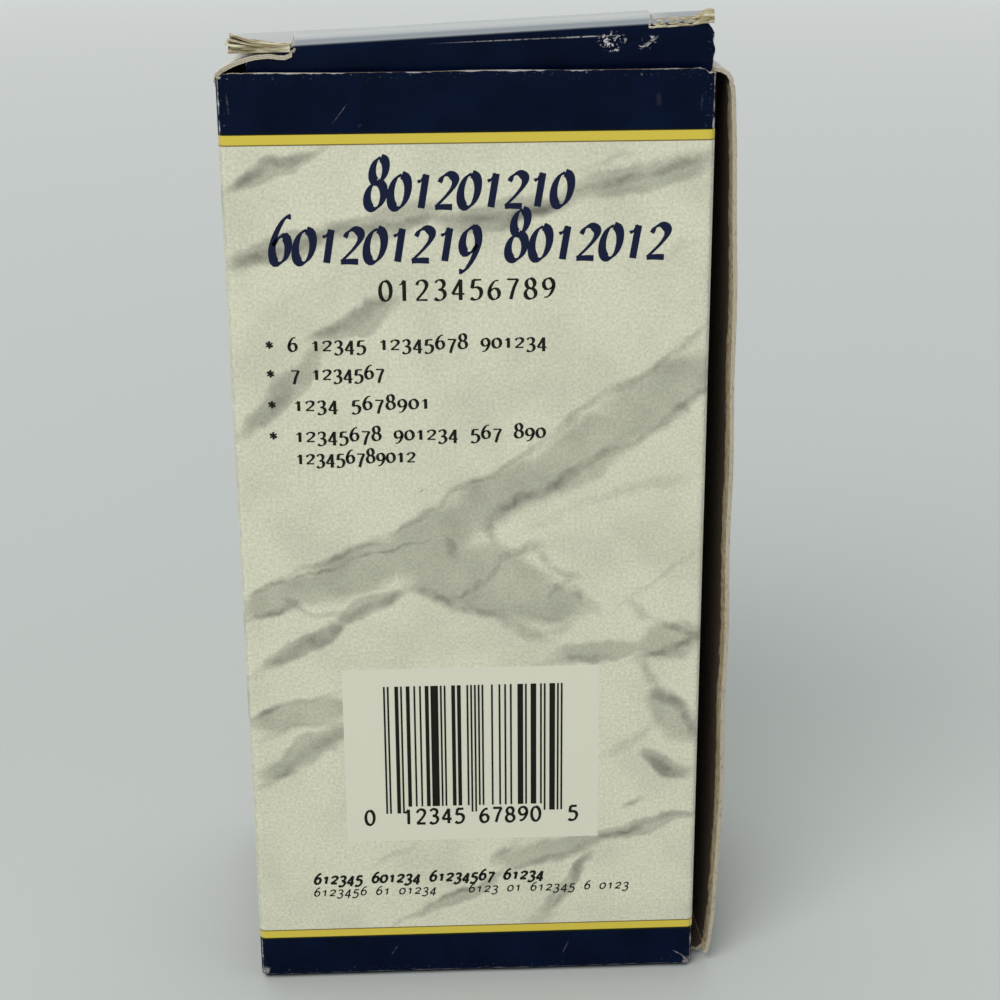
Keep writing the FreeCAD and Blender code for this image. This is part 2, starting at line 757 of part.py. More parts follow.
def side_frame(name, side):
    """Cheek plate with a slot at the wheels and a foot flange screwed to the base."""
    back = axis_x - d.frame_back
    lug = axis_x + d.frame_lug_front
    front = axis_x + d.frame_front
    lug_top = sole + d.frame_lug_height
    outline = [(back, base_top), (lug, base_top), (lug, lug_top),
               (front, lug_top + d.frame_shoulder), (front, frame_top_z), (back, frame_top_z)]
    inner, outer = (frame_inner, frame_outer) if side > 0 else (-frame_outer, -frame_inner)
    cheek = side_plate(outline, inner, outer)
    if side > 0:
        flange = block((back, outer, base_top), (lug, outer + d.flange_width, base_top + d.flange_thickness))
    else:
        flange = block((back, inner - d.flange_width, base_top), (lug, inner, base_top + d.flange_thickness))
    slot = block((axis_x - d.frame_slot_width / 2, inner - d.overrun, sole + d.frame_slot_bottom),
                 (axis_x + d.frame_slot_width / 2, outer + d.overrun,
                  sole + d.frame_slot_bottom + d.frame_slot_height))
    head_up = side > 0
    face = outer if head_up else inner
    holes = [shank((x, face, z), "y", d.frame_thickness, head_up) for x, z in frame_screw_places]
    holes += [shank((x, side * flange_y, base_top + d.flange_thickness), "z", d.flange_thickness)
              for x in foot_screw_places]
    pin = rod(d.arm_pin, (pivot_x, inner, pivot_z), d.frame_thickness, "y")
    tie = rod(d.tie_rod_radius, (axis_x - d.tie_rod_back, inner, tie_rod_z),
              d.frame_thickness, "y")
    name_node(name, cut(join(cheek, flange), slot, pin, tie, *holes))


def top_bridge():
    """Block between the cheeks that guides the plunger shaft."""
    body = block((axis_x - d.frame_back, -frame_inner, bridge_low),
                 (axis_x + d.bridge_front, frame_inner, frame_top_z))
    bore = rod(d.bushing_radius, (axis_x, 0, bridge_low - d.overrun), d.bridge_thickness + d.overrun * 2)
    depth = d.screw_length
    holes = [shank((x, frame_inner, z), "y", depth) for x, z in frame_screw_places]
    holes += [shank((x, -frame_inner, z), "y", depth, False) for x, z in frame_screw_places]
    holes += [rod(d.screw_radius, (x, y, frame_top_z - depth), depth) for x, y in neck_screw_places()]
    lock_start = cover_back - d.lock_in - d.lock_travel - d.loose_gap
    lock = rod(d.lock_radius + d.running_fit, (lock_start, d.lock_side, lock_z),
               cover_front - lock_start, "x")
    name_node("top_bridge", cut(body, bore, lock, *holes))
    ring = cut(rod(d.bushing_radius, (axis_x, 0, bridge_low), d.bridge_thickness),
               rod(d.shaft_radius + d.running_fit, (axis_x, 0, bridge_low - d.overrun),
                   d.bridge_thickness + d.overrun * 2))
    name_node("guide_bushing", ring)


def neck_screw_places():
    """Four places on the neck's screw circle, on the diagonals."""
    step = d.neck_screw_circle * math.sqrt(0.5)
    return [(axis_x + step * sx, step * sy) for sx in (-1, 1) for sy in (-1, 1)]


def spring_neck():
    """Flanged tube that holds the return spring round the shaft."""
    flange = rod(d.neck_flange_radius, (axis_x, 0, frame_top_z), d.neck_flange_thickness)
    tube = rod(d.neck_radius, (axis_x, 0, frame_top_z), d.neck_height)
    bore = rod(d.neck_bore, (axis_x, 0, frame_top_z - d.overrun), d.neck_height + d.overrun * 2)
    holes = [rod(d.screw_radius, (x, y, frame_top_z - d.overrun), d.neck_flange_thickness + d.overrun * 2)
             for x, y in neck_screw_places()]
    name_node("spring_neck", cut(join(flange, tube), bore, *holes))
    top = frame_top_z + d.neck_flange_thickness
    length = d.neck_flange_thickness + d.screw_length
    screws = [screw((x, y, top), "z", length) for x, y in neck_screw_places()]
    name_node("neck_screws", group(*screws))


def return_spring():
    """Open coil spring between the bridge and the ferrule, hidden in the neck and the skirt."""
    start = frame_top_z + d.spring_wire + d.running_fit
    length = ceiling - d.spring_wire - d.running_fit - start
    helix = Part.makeHelix((length / d.spring_turns).value, length.value, d.spring_mean_radius.value)
    profile = Part.Wire([Part.makeCircle(d.spring_wire.value,
                                         FreeCAD.Vector(d.spring_mean_radius.value, 0, 0),
                                         FreeCAD.Vector(0, 1, 0))])
    coil = Part.Wire(helix.Edges).makePipeShell([profile], True, True)
    feature = add("Part::Feature")
    feature.Shape = coil
    feature.Placement = FreeCAD.Placement(point(axis_x, 0, start), FreeCAD.Rotation())
    name_node("return_spring", feature)


def covers():
    """Thin back cover behind the cheeks and a front cover between them."""
    back_x = axis_x - d.frame_back
    back = block((back_x - d.cover_thickness, -frame_outer, sole + d.back_cover_bottom),
                 (back_x, frame_outer, frame_top_z))
    name_node("back_cover", back)
    sheet_front = block((cover_back, -frame_inner, sole + d.front_cover_bottom),
                        (cover_front, frame_inner, frame_top_z))
    stem = rod(d.selector_stem, (cover_back - d.overrun, 0, selector_z),
               d.front_cover_thickness + d.overrun * 2, "x")
    lock = rod(d.lock_radius + d.running_fit, (cover_back - d.overrun, d.lock_side, lock_z),
               d.front_cover_thickness + d.overrun * 2, "x")
    name_node("front_cover", cut(sheet_front, stem, lock))


def frame_hardware():
    """Screws through the cheeks and flanges, and the tie rod."""
    screws = []
    for side, head_up in ((1, True), (-1, False)):
        face = side * frame_outer
        screws += [screw((x, face, z), "y", d.frame_thickness + d.screw_length, head_up)
                   for x, z in frame_screw_places]
        screws += [screw((x, side * flange_y, base_top + d.flange_thickness), "z",
                         d.flange_thickness + d.screw_length / 2) for x in foot_screw_places]
    name_node("frame_screws", group(*screws))
    name_node("tie_rod", rod(d.tie_rod_radius, (axis_x - d.tie_rod_back, -frame_outer, tie_rod_z),
                             frame_outer * 2, "y"))


def plunger():
    """Shaft, ferrule with its skirt, knob and the screw that holds the knob."""
    shaft_low = head_low + d.yoke_plate
    name_node("plunger_shaft", rod(d.shaft_radius, (axis_x, 0, shaft_low), ferrule_high - shaft_low))
    skirt = rod(d.skirt_radius, (axis_x, 0, skirt_low), ferrule_high - skirt_low)
    hollow = rod(d.skirt_bore, (axis_x, 0, skirt_low - d.overrun), ceiling - skirt_low + d.overrun)
    seat = rod(d.shaft_radius, (axis_x, 0, ceiling - d.overrun), d.ferrule_top + d.overrun * 2)
    name_node("handle_ferrule", cut(skirt, hollow, seat))
    brim = knob_top - d.knob_crown
    crown = rod(d.knob_radius, (axis_x, 0, brim), d.knob_crown)
    doc.recompute()
    crown = rounded(crown, d.knob_crown_round, rim_edges(crown.Shape, knob_top))
    doc.recompute()
    crown = rounded(crown, d.knob_brim_round, rim_edges(crown.Shape, brim))
    lower = taper(d.knob_bottom_radius, d.knob_radius - d.knob_brim_round, (axis_x, 0, knob_low),
                  brim - knob_low)
    socket = rod(d.skirt_radius, (axis_x, 0, knob_low - d.knob_height),
                 ferrule_high - knob_low + d.knob_height)
    recess_low = knob_top - d.handle_screw_recess
    recess = rod(d.handle_screw_head + d.knob_bore_gap, (axis_x, 0, recess_low),
                 d.handle_screw_recess + d.overrun)
    stem_length = recess_low - ferrule_high
    stem_hole = rod(d.screw_radius, (axis_x, 0, ferrule_high - d.overrun), stem_length + d.overrun * 2)
    name_node("handle_knob", cut(join(crown, lower), socket, recess, stem_hole))
    name_node("handle_screw", join(rod(d.screw_radius, (axis_x, 0, ferrule_high), stem_length),
                                   rod(d.handle_screw_head, (axis_x, 0, recess_low),
                                       d.handle_screw_head_height)))


def carriage_yoke():
    """Fork that carries the wheel axle and the pawl ears under the shaft."""
    back, front = axis_x - d.yoke_half_depth, axis_x + d.yoke_half_depth
    foot = axle_z - d.yoke_foot
    outline = [(axis_x - d.yoke_foot, foot), (axis_x + d.yoke_foot, foot), (front, axle_z),
               (front, head_top), (back, head_top), (back, axle_z + d.yoke_ear_high),
               (axis_x - d.yoke_ear_back, axle_z + d.yoke_ear_high),
               (axis_x - d.yoke_ear_back, axle_z + d.yoke_ear_low),
               (back, axle_z + d.yoke_ear_low), (back, axle_z)]
    plates = [side_plate(outline, -yoke_outer, -yoke_inner), side_plate(outline, yoke_inner, yoke_outer)]
    head = block((back, -yoke_inner, head_low), (front, yoke_inner, head_top))
    shaft_low = head_low + d.yoke_plate
    bores = [rod(d.shaft_radius, (axis_x, 0, shaft_low), d.yoke_head),
             rod(d.axle_radius, (axis_x, -yoke_outer - d.overrun, axle_z), (yoke_outer + d.overrun) * 2, "y"),
             rod(d.pawl_pin, (axis_x - d.pawl_back, -yoke_outer - d.overrun, axle_z + d.pawl_rise),
                 (yoke_outer + d.overrun) * 2, "y")]
    name_node("carriage_yoke", cut(join(head, *plates), *bores))
    reach = yoke_outer + d.nut_thickness
    name_node("wheel_axle", rod(d.axle_radius, (axis_x, -reach, axle_z), reach * 2, "y"))
    nuts = []
    for start in (-reach, yoke_outer):
        prism = bind(add("Part::Prism"), Circumradius=d.nut_radius, Height=d.nut_thickness)
        put(prism, (axis_x, start, axle_z), "y")
        nuts.append(cut(prism, rod(d.axle_radius, (axis_x, start - d.overrun, axle_z),
                                   d.nut_thickness + d.overrun * 2, "y")))
    name_node("axle_nuts", group(*nuts))
    name_node("pawl_pin", rod(d.pawl_pin, (axis_x - d.pawl_back, -yoke_outer, axle_z + d.pawl_rise),
                              yoke_outer * 2, "y"))


def wheel_middle(index):
    """Place of a wheel's middle along the axle, counted from the left."""
    return d.wheel_pitch * (index - (wheel_count - 1) / 2)


def detent_comb():
    """Comb of leaf fingers under the yoke head, one against each wheel."""
    back = axis_x - d.detent_back
    front = back + d.detent_thickness
    half = d.wheel_pitch * ((wheel_count - 1) / 2) + d.detent_finger / 2
    root = block((back, -half, head_low - d.detent_comb_depth), (front, half, head_low))
    tip = axle_z + leg(d.wheel_radius, d.detent_back - d.detent_thickness) + d.detent_gap
    fingers = [block((back, wheel_middle(index) - d.detent_finger / 2, tip),
                     (front, wheel_middle(index) + d.detent_finger / 2, head_low - d.detent_comb_depth / 2))
               for index in range(wheel_count)]
    name_node("wheel_detent_comb", join(root, *fingers))


def ratchet_outline():
    """Saw-tooth ring of one tooth for each digit: a steep face, then a long back."""
    outer, tooth = d.ratchet_radius, d.ratchet_tooth
    points = []
    for index in range(digit_count):
        angle = 2 * math.pi * index / digit_count
        points.append((outer * math.cos(angle), outer * math.sin(angle)))
        points.append(((outer - tooth) * math.cos(angle), (outer - tooth) * math.sin(angle)))
    return points


def number_wheel(index):
    """Brass wheel with ten raised digit pads and a ratchet on its side, turned about its own Z."""
    body = doc.addObject("PartDesign::Body", "Wheel")
    disc_width = d.wheel_width - d.ratchet_thickness
    sketch = new_sketch(body, "XY", Size(0.0, "0"))
    for radius in (d.wheel_radius - d.digit_relief, d.axle_radius + d.running_fit):
        number = sketch.addGeometry(Part.Circle(FreeCAD.Vector(), FreeCAD.Vector(0, 0, 1), radius.value))
        sketch.addConstraint(Sketcher.Constraint("Coincident", number, 3, -1, 1))
        limit = sketch.addConstraint(Sketcher.Constraint("Radius", number, radius.value))
        sketch.setExpression(f"Constraints[{limit}]", radius.text)
    disc = body.newObject("PartDesign::Pad", "Disc")
    disc.Profile = sketch
    bind(disc, Length=disc_width)
    doc.recompute()
    face = new_sketch(body, "XY", (disc_width - d.digit_width) / 2)
    root = d.wheel_radius - d.digit_relief * 2
    type_face = leg(d.wheel_radius, d.digit_height / 2)
    draw_outline(face, [(-d.digit_height / 2, root), (d.digit_height / 2, root),
                        (d.digit_height / 2, type_face), (-d.digit_height / 2, type_face)])
    digit = body.newObject("PartDesign::Pad", "DigitPad")
    digit.Profile = face
    bind(digit, Length=d.digit_width)
    doc.recompute()
    pattern = body.newObject("PartDesign::PolarPattern", "DigitPads")
    pattern.Originals = [digit]
    z_axis = [item for item in body.Origin.OriginFeatures if item.Role == "Z_Axis"][0]
    pattern.Axis = (z_axis, [""])
    pattern.Angle = 360
    pattern.Occurrences = digit_count
    body.Tip = pattern
    doc.recompute()
    teeth = new_sketch(body, "XY", disc_width)
    draw_outline(teeth, ratchet_outline())
    number = teeth.addGeometry(Part.Circle(FreeCAD.Vector(), FreeCAD.Vector(0, 0, 1),
                                           (d.axle_radius + d.running_fit).value))
    teeth.addConstraint(Sketcher.Constraint("Coincident", number, 3, -1, 1))
    limit = teeth.addConstraint(Sketcher.Constraint("Radius", number, (d.axle_radius + d.running_fit).value))
    teeth.setExpression(f"Constraints[{limit}]", (d.axle_radius + d.running_fit).text)
    ratchet = body.newObject("PartDesign::Pad", "Ratchet")
    ratchet.Profile = teeth
    bind(ratchet, Length=d.ratchet_thickness)
    body.Placement = FreeCAD.Placement(FreeCAD.Vector(), AXIS_TURNS["y"])
    bind(body, Placement__Base__x=axis_x, Placement__Base__z=axle_z,
         Placement__Base__y=wheel_middle(index) - d.wheel_width / 2)
    name_node(f"number_wheel_{index + 1}", body)


def feed_pawl():
    """Comb pawl behind the wheels, swinging on the pin between the yoke ears."""
    x, z = axis_x - d.pawl_back, axle_z + d.pawl_rise
    half = yoke_inner - d.pawl_side_gap
    hub = rod(d.pawl_hub, (x, -half, z), half * 2, "y")
    low = z - d.pawl_length
    comb_low = low + d.pawl_tooth_length
    back = x - d.pawl_thickness / 2
    web = block((back, -half, comb_low), (back + d.pawl_thickness, half, z))
    teeth = [block((back, wheel_middle(index) - d.pawl_tooth / 2, low),
                   (back + d.pawl_thickness, wheel_middle(index) + d.pawl_tooth / 2, comb_low + d.overrun))
             for index in range(wheel_count)]
    bore = rod(d.pawl_pin + d.running_fit, (x, -half - d.overrun, z), (half + d.overrun) * 2, "y")
    name_node("feed_pawl", cut(join(hub, web, *teeth), bore))


def inking():
    """Ink arms on two pins, the tray that they carry under the wheels, and its felt pad."""
    tray_low = pad_face - d.pad_thickness - d.tray_wall
    bar_low = tray_low - d.arm_bar_height
    arms = []
    bores = []
    for start in (-arm_outer, arm_inner):
        boss = rod(d.arm_boss, (pivot_x, start, pivot_z), d.arm_thickness, "y")
        upright = block((pivot_x - d.arm_width / 2, start, bar_low),
                        (pivot_x + d.arm_width / 2, start + d.arm_thickness, pivot_z))
        level = block((axis_x - d.arm_bar_half_depth, start, bar_low),
                      (pivot_x + d.arm_width / 2, start + d.arm_thickness, bar_low + d.arm_width))
        arms += [boss, upright, level]
        bores.append(rod(d.arm_pin + d.running_fit, (pivot_x, start - d.overrun, pivot_z),
                         d.arm_thickness + d.overrun * 2, "y"))
    bar = block((axis_x - d.arm_bar_half_depth, -arm_inner, bar_low),
                (axis_x + d.arm_bar_half_depth, arm_inner, tray_low))
    name_node("ink_arms", cut(join(bar, *arms), *bores))
    wall = d.tray_wall
    outer = block((axis_x - d.pad_half_depth - wall, -d.pad_half_width - wall, tray_low),
                  (axis_x + d.pad_half_depth + wall, d.pad_half_width + wall, tray_low + d.tray_depth))
    felt = ((axis_x - d.pad_half_depth, -d.pad_half_width, tray_low + wall),
            (axis_x + d.pad_half_depth, d.pad_half_width, pad_face))
    name_node("ink_pad_holder", cut(outer, block(*felt)))
    name_node("ink_pad", block(*felt))
    pin_reach = frame_outer + d.screw_head_height
    pins = [rod(d.arm_pin, (pivot_x, start, pivot_z), pin_reach - arm_inner, "y")
            for start in (-pin_reach, arm_inner)]
    name_node("ink_arm_pins", group(*pins))


def selector():
    """Seven-position action selector on the front cover."""
    plate_front = cover_front + d.index_thickness
    index_plate = cut(rod(d.index_radius, (cover_front, 0, selector_z), d.index_thickness, "x"),
                      rod(d.selector_stem, (cover_front - d.overrun, 0, selector_z),
                          d.index_thickness + d.overrun * 2, "x"))
    name_node("selector_index_plate", index_plate)
    lever_back = plate_front + d.selector_gap
    lever_front = lever_back + d.lever_thickness
    grip_z = selector_z + d.lever_reach
    hub = rod(d.lever_hub_radius, (lever_back, 0, selector_z), d.lever_thickness, "x")
    arm = block((lever_back, -d.lever_width / 2, selector_z), (lever_front, d.lever_width / 2, grip_z))
    grip = rod(d.lever_knob_radius, (lever_back, 0, grip_z), d.lever_thickness + d.lever_knob_height, "x")
    bore = rod(d.selector_stem + d.running_fit, (lever_back - d.overrun, 0, selector_z),
               d.lever_thickness + d.overrun * 2, "x")
    name_node("selector_lever", cut(join(hub, arm, grip), bore))
    head_back = lever_front + d.selector_gap
    stem = rod(d.selector_stem, (cover_back, 0, selector_z), head_back - cover_back, "x")
    head = rod(d.selector_screw_radius, (head_back, 0, selector_z), d.selector_screw_height, "x")
    name_node("selector_screw", join(stem, head))


def lock_button():
    """Push button that holds the plunger down, in a bore of the bridge."""
    start = cover_back - d.lock_in
    name_node("lock_button", rod(d.lock_radius, (start, d.lock_side, lock_z),
                                 cover_front + d.lock_out - start, "x"))


carton_wall_shell()
carton_seam_side_panel()
top_lid()
top_tuck_flap()
top_dust_flaps()
bottom_flaps()
inner_partition()
instruction_leaflet()
ink_bottle()
stylus()
base_foot()
side_frame("side_frame_left", -1)
side_frame("side_frame_right", 1)
top_bridge()
spring_neck()
return_spring()
covers()
frame_hardware()
plunger()
carriage_yoke()
detent_comb()
for wheel_index in range(wheel_count):
    number_wheel(wheel_index)
feed_pawl()
inking()
selector()
lock_button()

doc.recompute()
problems = [f"{thing.Name}: {thing.State}" for thing in doc.Objects
            if "Invalid" in thing.State or "Error" in thing.State]
for node_name, thing in nodes.items():
    if thing.Shape.isNull() or not thing.Shape.isValid() or not thing.Shape.Solids:
        problems.append(f"{node_name}: empty or not valid")
if problems:
    raise RuntimeError("; ".join(problems))
os.makedirs("parts", exist_ok=True)
for node_name, thing in nodes.items():
    thing.Shape.exportStep(f"parts/{node_name}.step")
    box = thing.Shape.BoundBox
    spans = [f"{low:7.2f} {high:7.2f}" for low, high in
             ((box.XMin, box.XMax), (box.YMin, box.YMax), (box.ZMin, box.ZMax))]
    print(f"{node_name:24s} {len(thing.Shape.Solids)} solid(s) {thing.Shape.Volume:10.1f} mm3 ", *spans)
print(f"{len(nodes)} nodes")
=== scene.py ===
import bpy
import numpy as np
from mathutils import Matrix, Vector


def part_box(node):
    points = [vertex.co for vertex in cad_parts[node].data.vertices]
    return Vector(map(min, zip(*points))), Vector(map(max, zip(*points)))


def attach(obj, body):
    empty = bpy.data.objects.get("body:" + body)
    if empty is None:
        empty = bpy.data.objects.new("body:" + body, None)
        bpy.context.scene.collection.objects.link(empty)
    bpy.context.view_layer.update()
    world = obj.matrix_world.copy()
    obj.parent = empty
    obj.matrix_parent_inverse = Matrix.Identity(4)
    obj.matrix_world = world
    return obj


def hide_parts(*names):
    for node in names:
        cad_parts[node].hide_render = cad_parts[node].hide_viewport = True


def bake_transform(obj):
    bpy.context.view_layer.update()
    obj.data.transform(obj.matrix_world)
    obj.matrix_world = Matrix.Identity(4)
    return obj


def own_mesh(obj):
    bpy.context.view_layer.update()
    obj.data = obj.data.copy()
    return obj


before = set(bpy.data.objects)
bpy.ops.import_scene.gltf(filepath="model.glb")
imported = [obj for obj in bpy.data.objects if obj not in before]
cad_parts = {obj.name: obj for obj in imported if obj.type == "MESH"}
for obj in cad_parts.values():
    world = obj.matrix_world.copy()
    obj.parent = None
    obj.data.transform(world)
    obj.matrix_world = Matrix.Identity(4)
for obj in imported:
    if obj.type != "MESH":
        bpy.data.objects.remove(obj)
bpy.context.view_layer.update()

# Camera. It stands in front of the printed wall, a little left of it and above it. Its place, turn and
# focal length were fitted to the carton's corners and stripes in the photograph, 1000 pixels wide.
mm = 0.001
camera_place = np.array((-8.0, -355.1, 209.6)) * mm
camera_yaw, camera_dip, camera_roll = np.radians((2.24, 19.82, -0.38))
focal_length_pixels = 2050.0
picture_pixels = 1000
ahead = np.array((np.sin(camera_yaw) * np.cos(camera_dip), np.cos(camera_yaw) * np.cos(camera_dip),
                  -np.sin(camera_dip)))
level = np.array((np.cos(camera_yaw), -np.sin(camera_yaw), 0))
upward = np.cross(level, ahead)
sideways = level * np.cos(camera_roll) + upward * np.sin(camera_roll)
upright = np.cross(sideways, ahead)
lens = bpy.data.cameras.new("camera")
lens.sensor_width = 36
lens.lens = lens.sensor_width * focal_length_pixels / picture_pixels
lens.clip_start = 0.01
camera = bpy.data.objects.new("camera", lens)
bpy.context.collection.objects.link(camera)
turn = np.eye(4)
turn[:3, :4] = np.stack((sideways, upright, -ahead, camera_place), 1)
camera.matrix_world = Matrix(turn.tolist())
bpy.context.scene.camera = camera
bpy.context.scene.view_settings.view_transform = "Standard"


# Floor and light. A plain pale floor, as wide as any view needs, under a soft ceiling light from the left, a
# weaker one from the right and an even pale sky. A painted glow, seen only by the camera and in mirrors,
# makes the floor paler far off.
def linear(code):
    """sRGB hex to linear colour: each channel c over 255, then ((c + 0.055) / 1.055) ** 2.4, and c / 12.92
    up to 0.04045."""
    channels = np.array([int(code[at:at + 2], 16) for at in (1, 3, 5)]) / 255
    bright = ((channels + 0.055) / 1.055) ** 2.4
    return (*np.where(channels > 0.04045, bright, channels / 12.92), 1.0)


def node(tree, kind, *values, out=0, **named):
    """Adds one node and returns one of its outputs. Values fill its inputs in order, and names that start
    with a capital fill them by name: a socket is linked, a hex code made linear, any other value set. The
    other names are the node's own settings."""
    made = tree.nodes.new("ShaderNode" + kind)
    for key, value in named.items():
        if key[0].islower():
            setattr(made, key, value)
    by_name = [(key.replace("_", " "), value) for key, value in named.items() if key[0].isupper()]
    for key, value in [*enumerate(values), *by_name]:
        if isinstance(value, bpy.types.NodeSocket):
            tree.links.new(value, made.inputs[key])
        else:
            made.inputs[key].default_value = linear(value) if isinstance(value, str) else value
    return made.outputs[out]


def finish(name, colour="#808080", **sockets):
    """A new material of that name: returns it, its node tree and its shader, with the plain values set."""
    material = bpy.data.materials.new(name)
    material.use_nodes = True
    shader = material.node_tree.nodes["Principled BSDF"]
    shader.inputs["Base Color"].default_value = linear(colour)
    for key, value in sockets.items():
        shader.inputs[key.replace("_", " ")].default_value = value
    material.diffuse_color = linear(colour)
    return material, material.node_tree, shader


def in_mm(tree, stretch=(1.0, 1.0, 1.0)):
    """Object coordinates in millimetres, each axis times its stretch."""
    place = node(tree, "TexCoord", out="Object")
    return node(tree, "VectorMath", place, tuple(1000.0 * share for share in stretch), operation="MULTIPLY")


def mottle(tree, where, grain, low, high, start=0.0, end=1.0, curve="SMOOTHSTEP", **noise):
    """Noise with spots about as many millimetres wide as the grain, its values from low to high spread over
    start to end."""
    cloud = node(tree, "TexNoise", where, Scale=1 / grain, **noise)
    return node(tree, "MapRange", cloud, low, high, start, end, interpolation_type=curve)


def shown_to_camera(tree):
    """1 on rays from the camera, and on rays that a mirror or glass sends on to what the camera sees."""
    rays = node(tree, "LightPath").node.outputs
    seen = rays["Is Camera Ray"]
    for ray in ("Is Glossy Ray", "Is Transmission Ray"):
        seen = node(tree, "Math", seen, rays[ray], operation="MAXIMUM")
    return seen


floor_half = 8.0
floor_colour = "#B6BAB6"
far_glow = 0.52
matt_floor, tree, shader = finish("matt_floor", floor_colour, Roughness=0.9)
# Painted glow: the floor emits more the farther it lies from the carton, only towards the camera and mirrors.
far = node(tree, "VectorMath", node(tree, "TexCoord", out="Object"), operation="LENGTH", out=1)
far = node(tree, "MapRange", far, 0.15, 1.9, 0.0, far_glow)
seen = shown_to_camera(tree)
shader.inputs["Emission Color"].default_value = linear("#E4E7E6")
tree.links.new(node(tree, "Math", far, seen, operation="MULTIPLY"), shader.inputs["Emission Strength"])
floor_mesh = bpy.data.meshes.new("floor")
floor_corners = np.array(((-1, -1, 0), (1, -1, 0), (1, 1, 0), (-1, 1, 0))) * floor_half
floor_mesh.from_pydata(floor_corners, [], [(0, 1, 2, 3)])
floor = bpy.data.objects.new("floor", floor_mesh)
bpy.context.collection.objects.link(floor)
floor_mesh.materials.append(matt_floor)

sky = bpy.data.worlds.new("sky")
sky.use_nodes = True
tree = sky.node_tree
seen = shown_to_camera(tree)
air = tree.nodes["Background"].inputs
tree.links.new(node(tree, "MixRGB", seen, "#E9EEF2", "#D0D3D2"), air["Color"])
tree.links.new(node(tree, "MapRange", seen, 0.0, 1.0, 0.5, 1.0), air["Strength"])
bpy.context.scene.world = sky

light_aim = np.array((0, 0, 0.09))
for name, place, size, watts in (("ceiling_light", (-0.45, -0.85, 1.15), 0.9, 14.2),
                                 ("side_light", (1.1, -0.75, 0.55), 0.8, 1.5),
                                 ("top_light", (0.0, 0.45, 1.3), 1.1, 5.5)):
    lamp = bpy.data.lights.new(name, "AREA")
    lamp.size = size
    lamp.energy = watts
    light = bpy.data.objects.new(name, lamp)
    bpy.context.collection.objects.link(light)
    back = np.array(place) - light_aim
    back /= np.linalg.norm(back)
    right = np.cross((0, 0, 1), back)
    right /= np.linalg.norm(right)
    turn = np.eye(4)
    turn[:3, :4] = np.stack((right, np.cross(back, right), back, place), 1)
    light.matrix_world = Matrix(turn.tolist())


# Carton board. Clay-coated folding board 0.7 mm thick: grey recycled plies under a white coat, printed by
# offset and varnished. The blank map holds each point's place on the flat blank, in millimetres, so that
# the print follows the folds. Board is worn white along folds and cut edges.
board_thick = 0.7
front_half = 39.5
side_half = 30.0
wall_x = front_half - board_thick / 2
wall_y = side_half - board_thick / 2
front_width = front_half * 2
side_width = side_half * 2
band_marks = {"top_line": 154.4, "top_marble": 152.65, "low_marble": 10.1, "low_line": 8.45}
lid_print_from, lid_print_to = 165.2, 222.95
navy_ink, yellow_ink, paper_ink = "#010A20", "#D2BE4C", "#D6D5BE"


def closed_sheet(grids, thick, skins, name, edge=None, blank=None):
    """One closed board per grid of mid-surface points: each point moved half the thickness both ways along
    the cross product of the grid's two differences, and the two faces joined round the border."""
    corners, faces, slots, blanks, edges, plies = [], [], [], [], [], []
    start = 0
    for number, grid in enumerate(grids):
        grid = np.asarray(grid, float)
        across, along = np.gradient(grid, axis=0), np.gradient(grid, axis=1)
        normal = np.cross(across, along)
        normal /= np.maximum(np.linalg.norm(normal, axis=2, keepdims=True), 1e-12)
        rows, columns = grid.shape[:2]
        count = rows * columns
        corners += [(grid + normal * thick / 2).reshape(-1, 3), (grid - normal * thick / 2).reshape(-1, 3)]
        ids = np.arange(count).reshape(rows, columns) + start
        quads = np.stack((ids[:-1, :-1], ids[1:, :-1], ids[1:, 1:], ids[:-1, 1:]), -1).reshape(-1, 4)
        border = np.concatenate((ids[0, :], ids[1:, -1], ids[-1, -2::-1], ids[-2::-1, 0]))
        rim = np.stack((border[1:], border[:-1], border[:-1] + count, border[1:] + count), -1)
        faces += [quads, (quads + count)[:, ::-1], rim[:, ::-1]]
        slots += [np.full(len(quads), 0), np.full(len(quads), 1), np.full(len(rim), 2)]
        plies += [np.ones(count), np.zeros(count)]
        if edge is not None:
            edges += [edge[number].ravel()] * 2
        if blank is not None:
            blanks += [blank[number].reshape(-1, 2)] * 2
        start += count * 2
    mesh = bpy.data.meshes.new(name)
    mesh.from_pydata(np.concatenate(corners) * mm, [], np.concatenate(faces).tolist())
    mesh.polygons.foreach_set("material_index", np.concatenate(slots).astype(np.int32))
    for skin in skins:
        mesh.materials.append(skin)
    marks = {"ply": np.concatenate(plies)}
    if edge is not None:
        marks["edge"] = np.concatenate(edges)
    for key, values in marks.items():
        mesh.attributes.new(key, "FLOAT", "POINT").data.foreach_set("value", values.astype(np.float32))
    if blank is not None:
        loops = np.empty(len(mesh.loops), np.int32)
        mesh.loops.foreach_get("vertex_index", loops)
        mesh.uv_layers.new(name="blank").data.foreach_set("uv", np.concatenate(blanks)[loops].ravel())
    piece = bpy.data.objects.new(name, mesh)
    bpy.context.collection.objects.link(piece)
    return piece


def tear(piece, torn):
    """Gives slot 3, the torn board, to the faces that torn picks by their centres, in mm, and slots."""
    slots = np.empty(len(piece.data.polygons), np.int32)
    piece.data.polygons.foreach_get("material_index", slots)
    centres = np.empty(len(slots) * 3, np.float32)
    piece.data.polygons.foreach_get("center", centres)
    slots[torn(centres.reshape(-1, 3) / mm, slots)] = 3
    piece.data.polygons.foreach_set("material_index", slots)


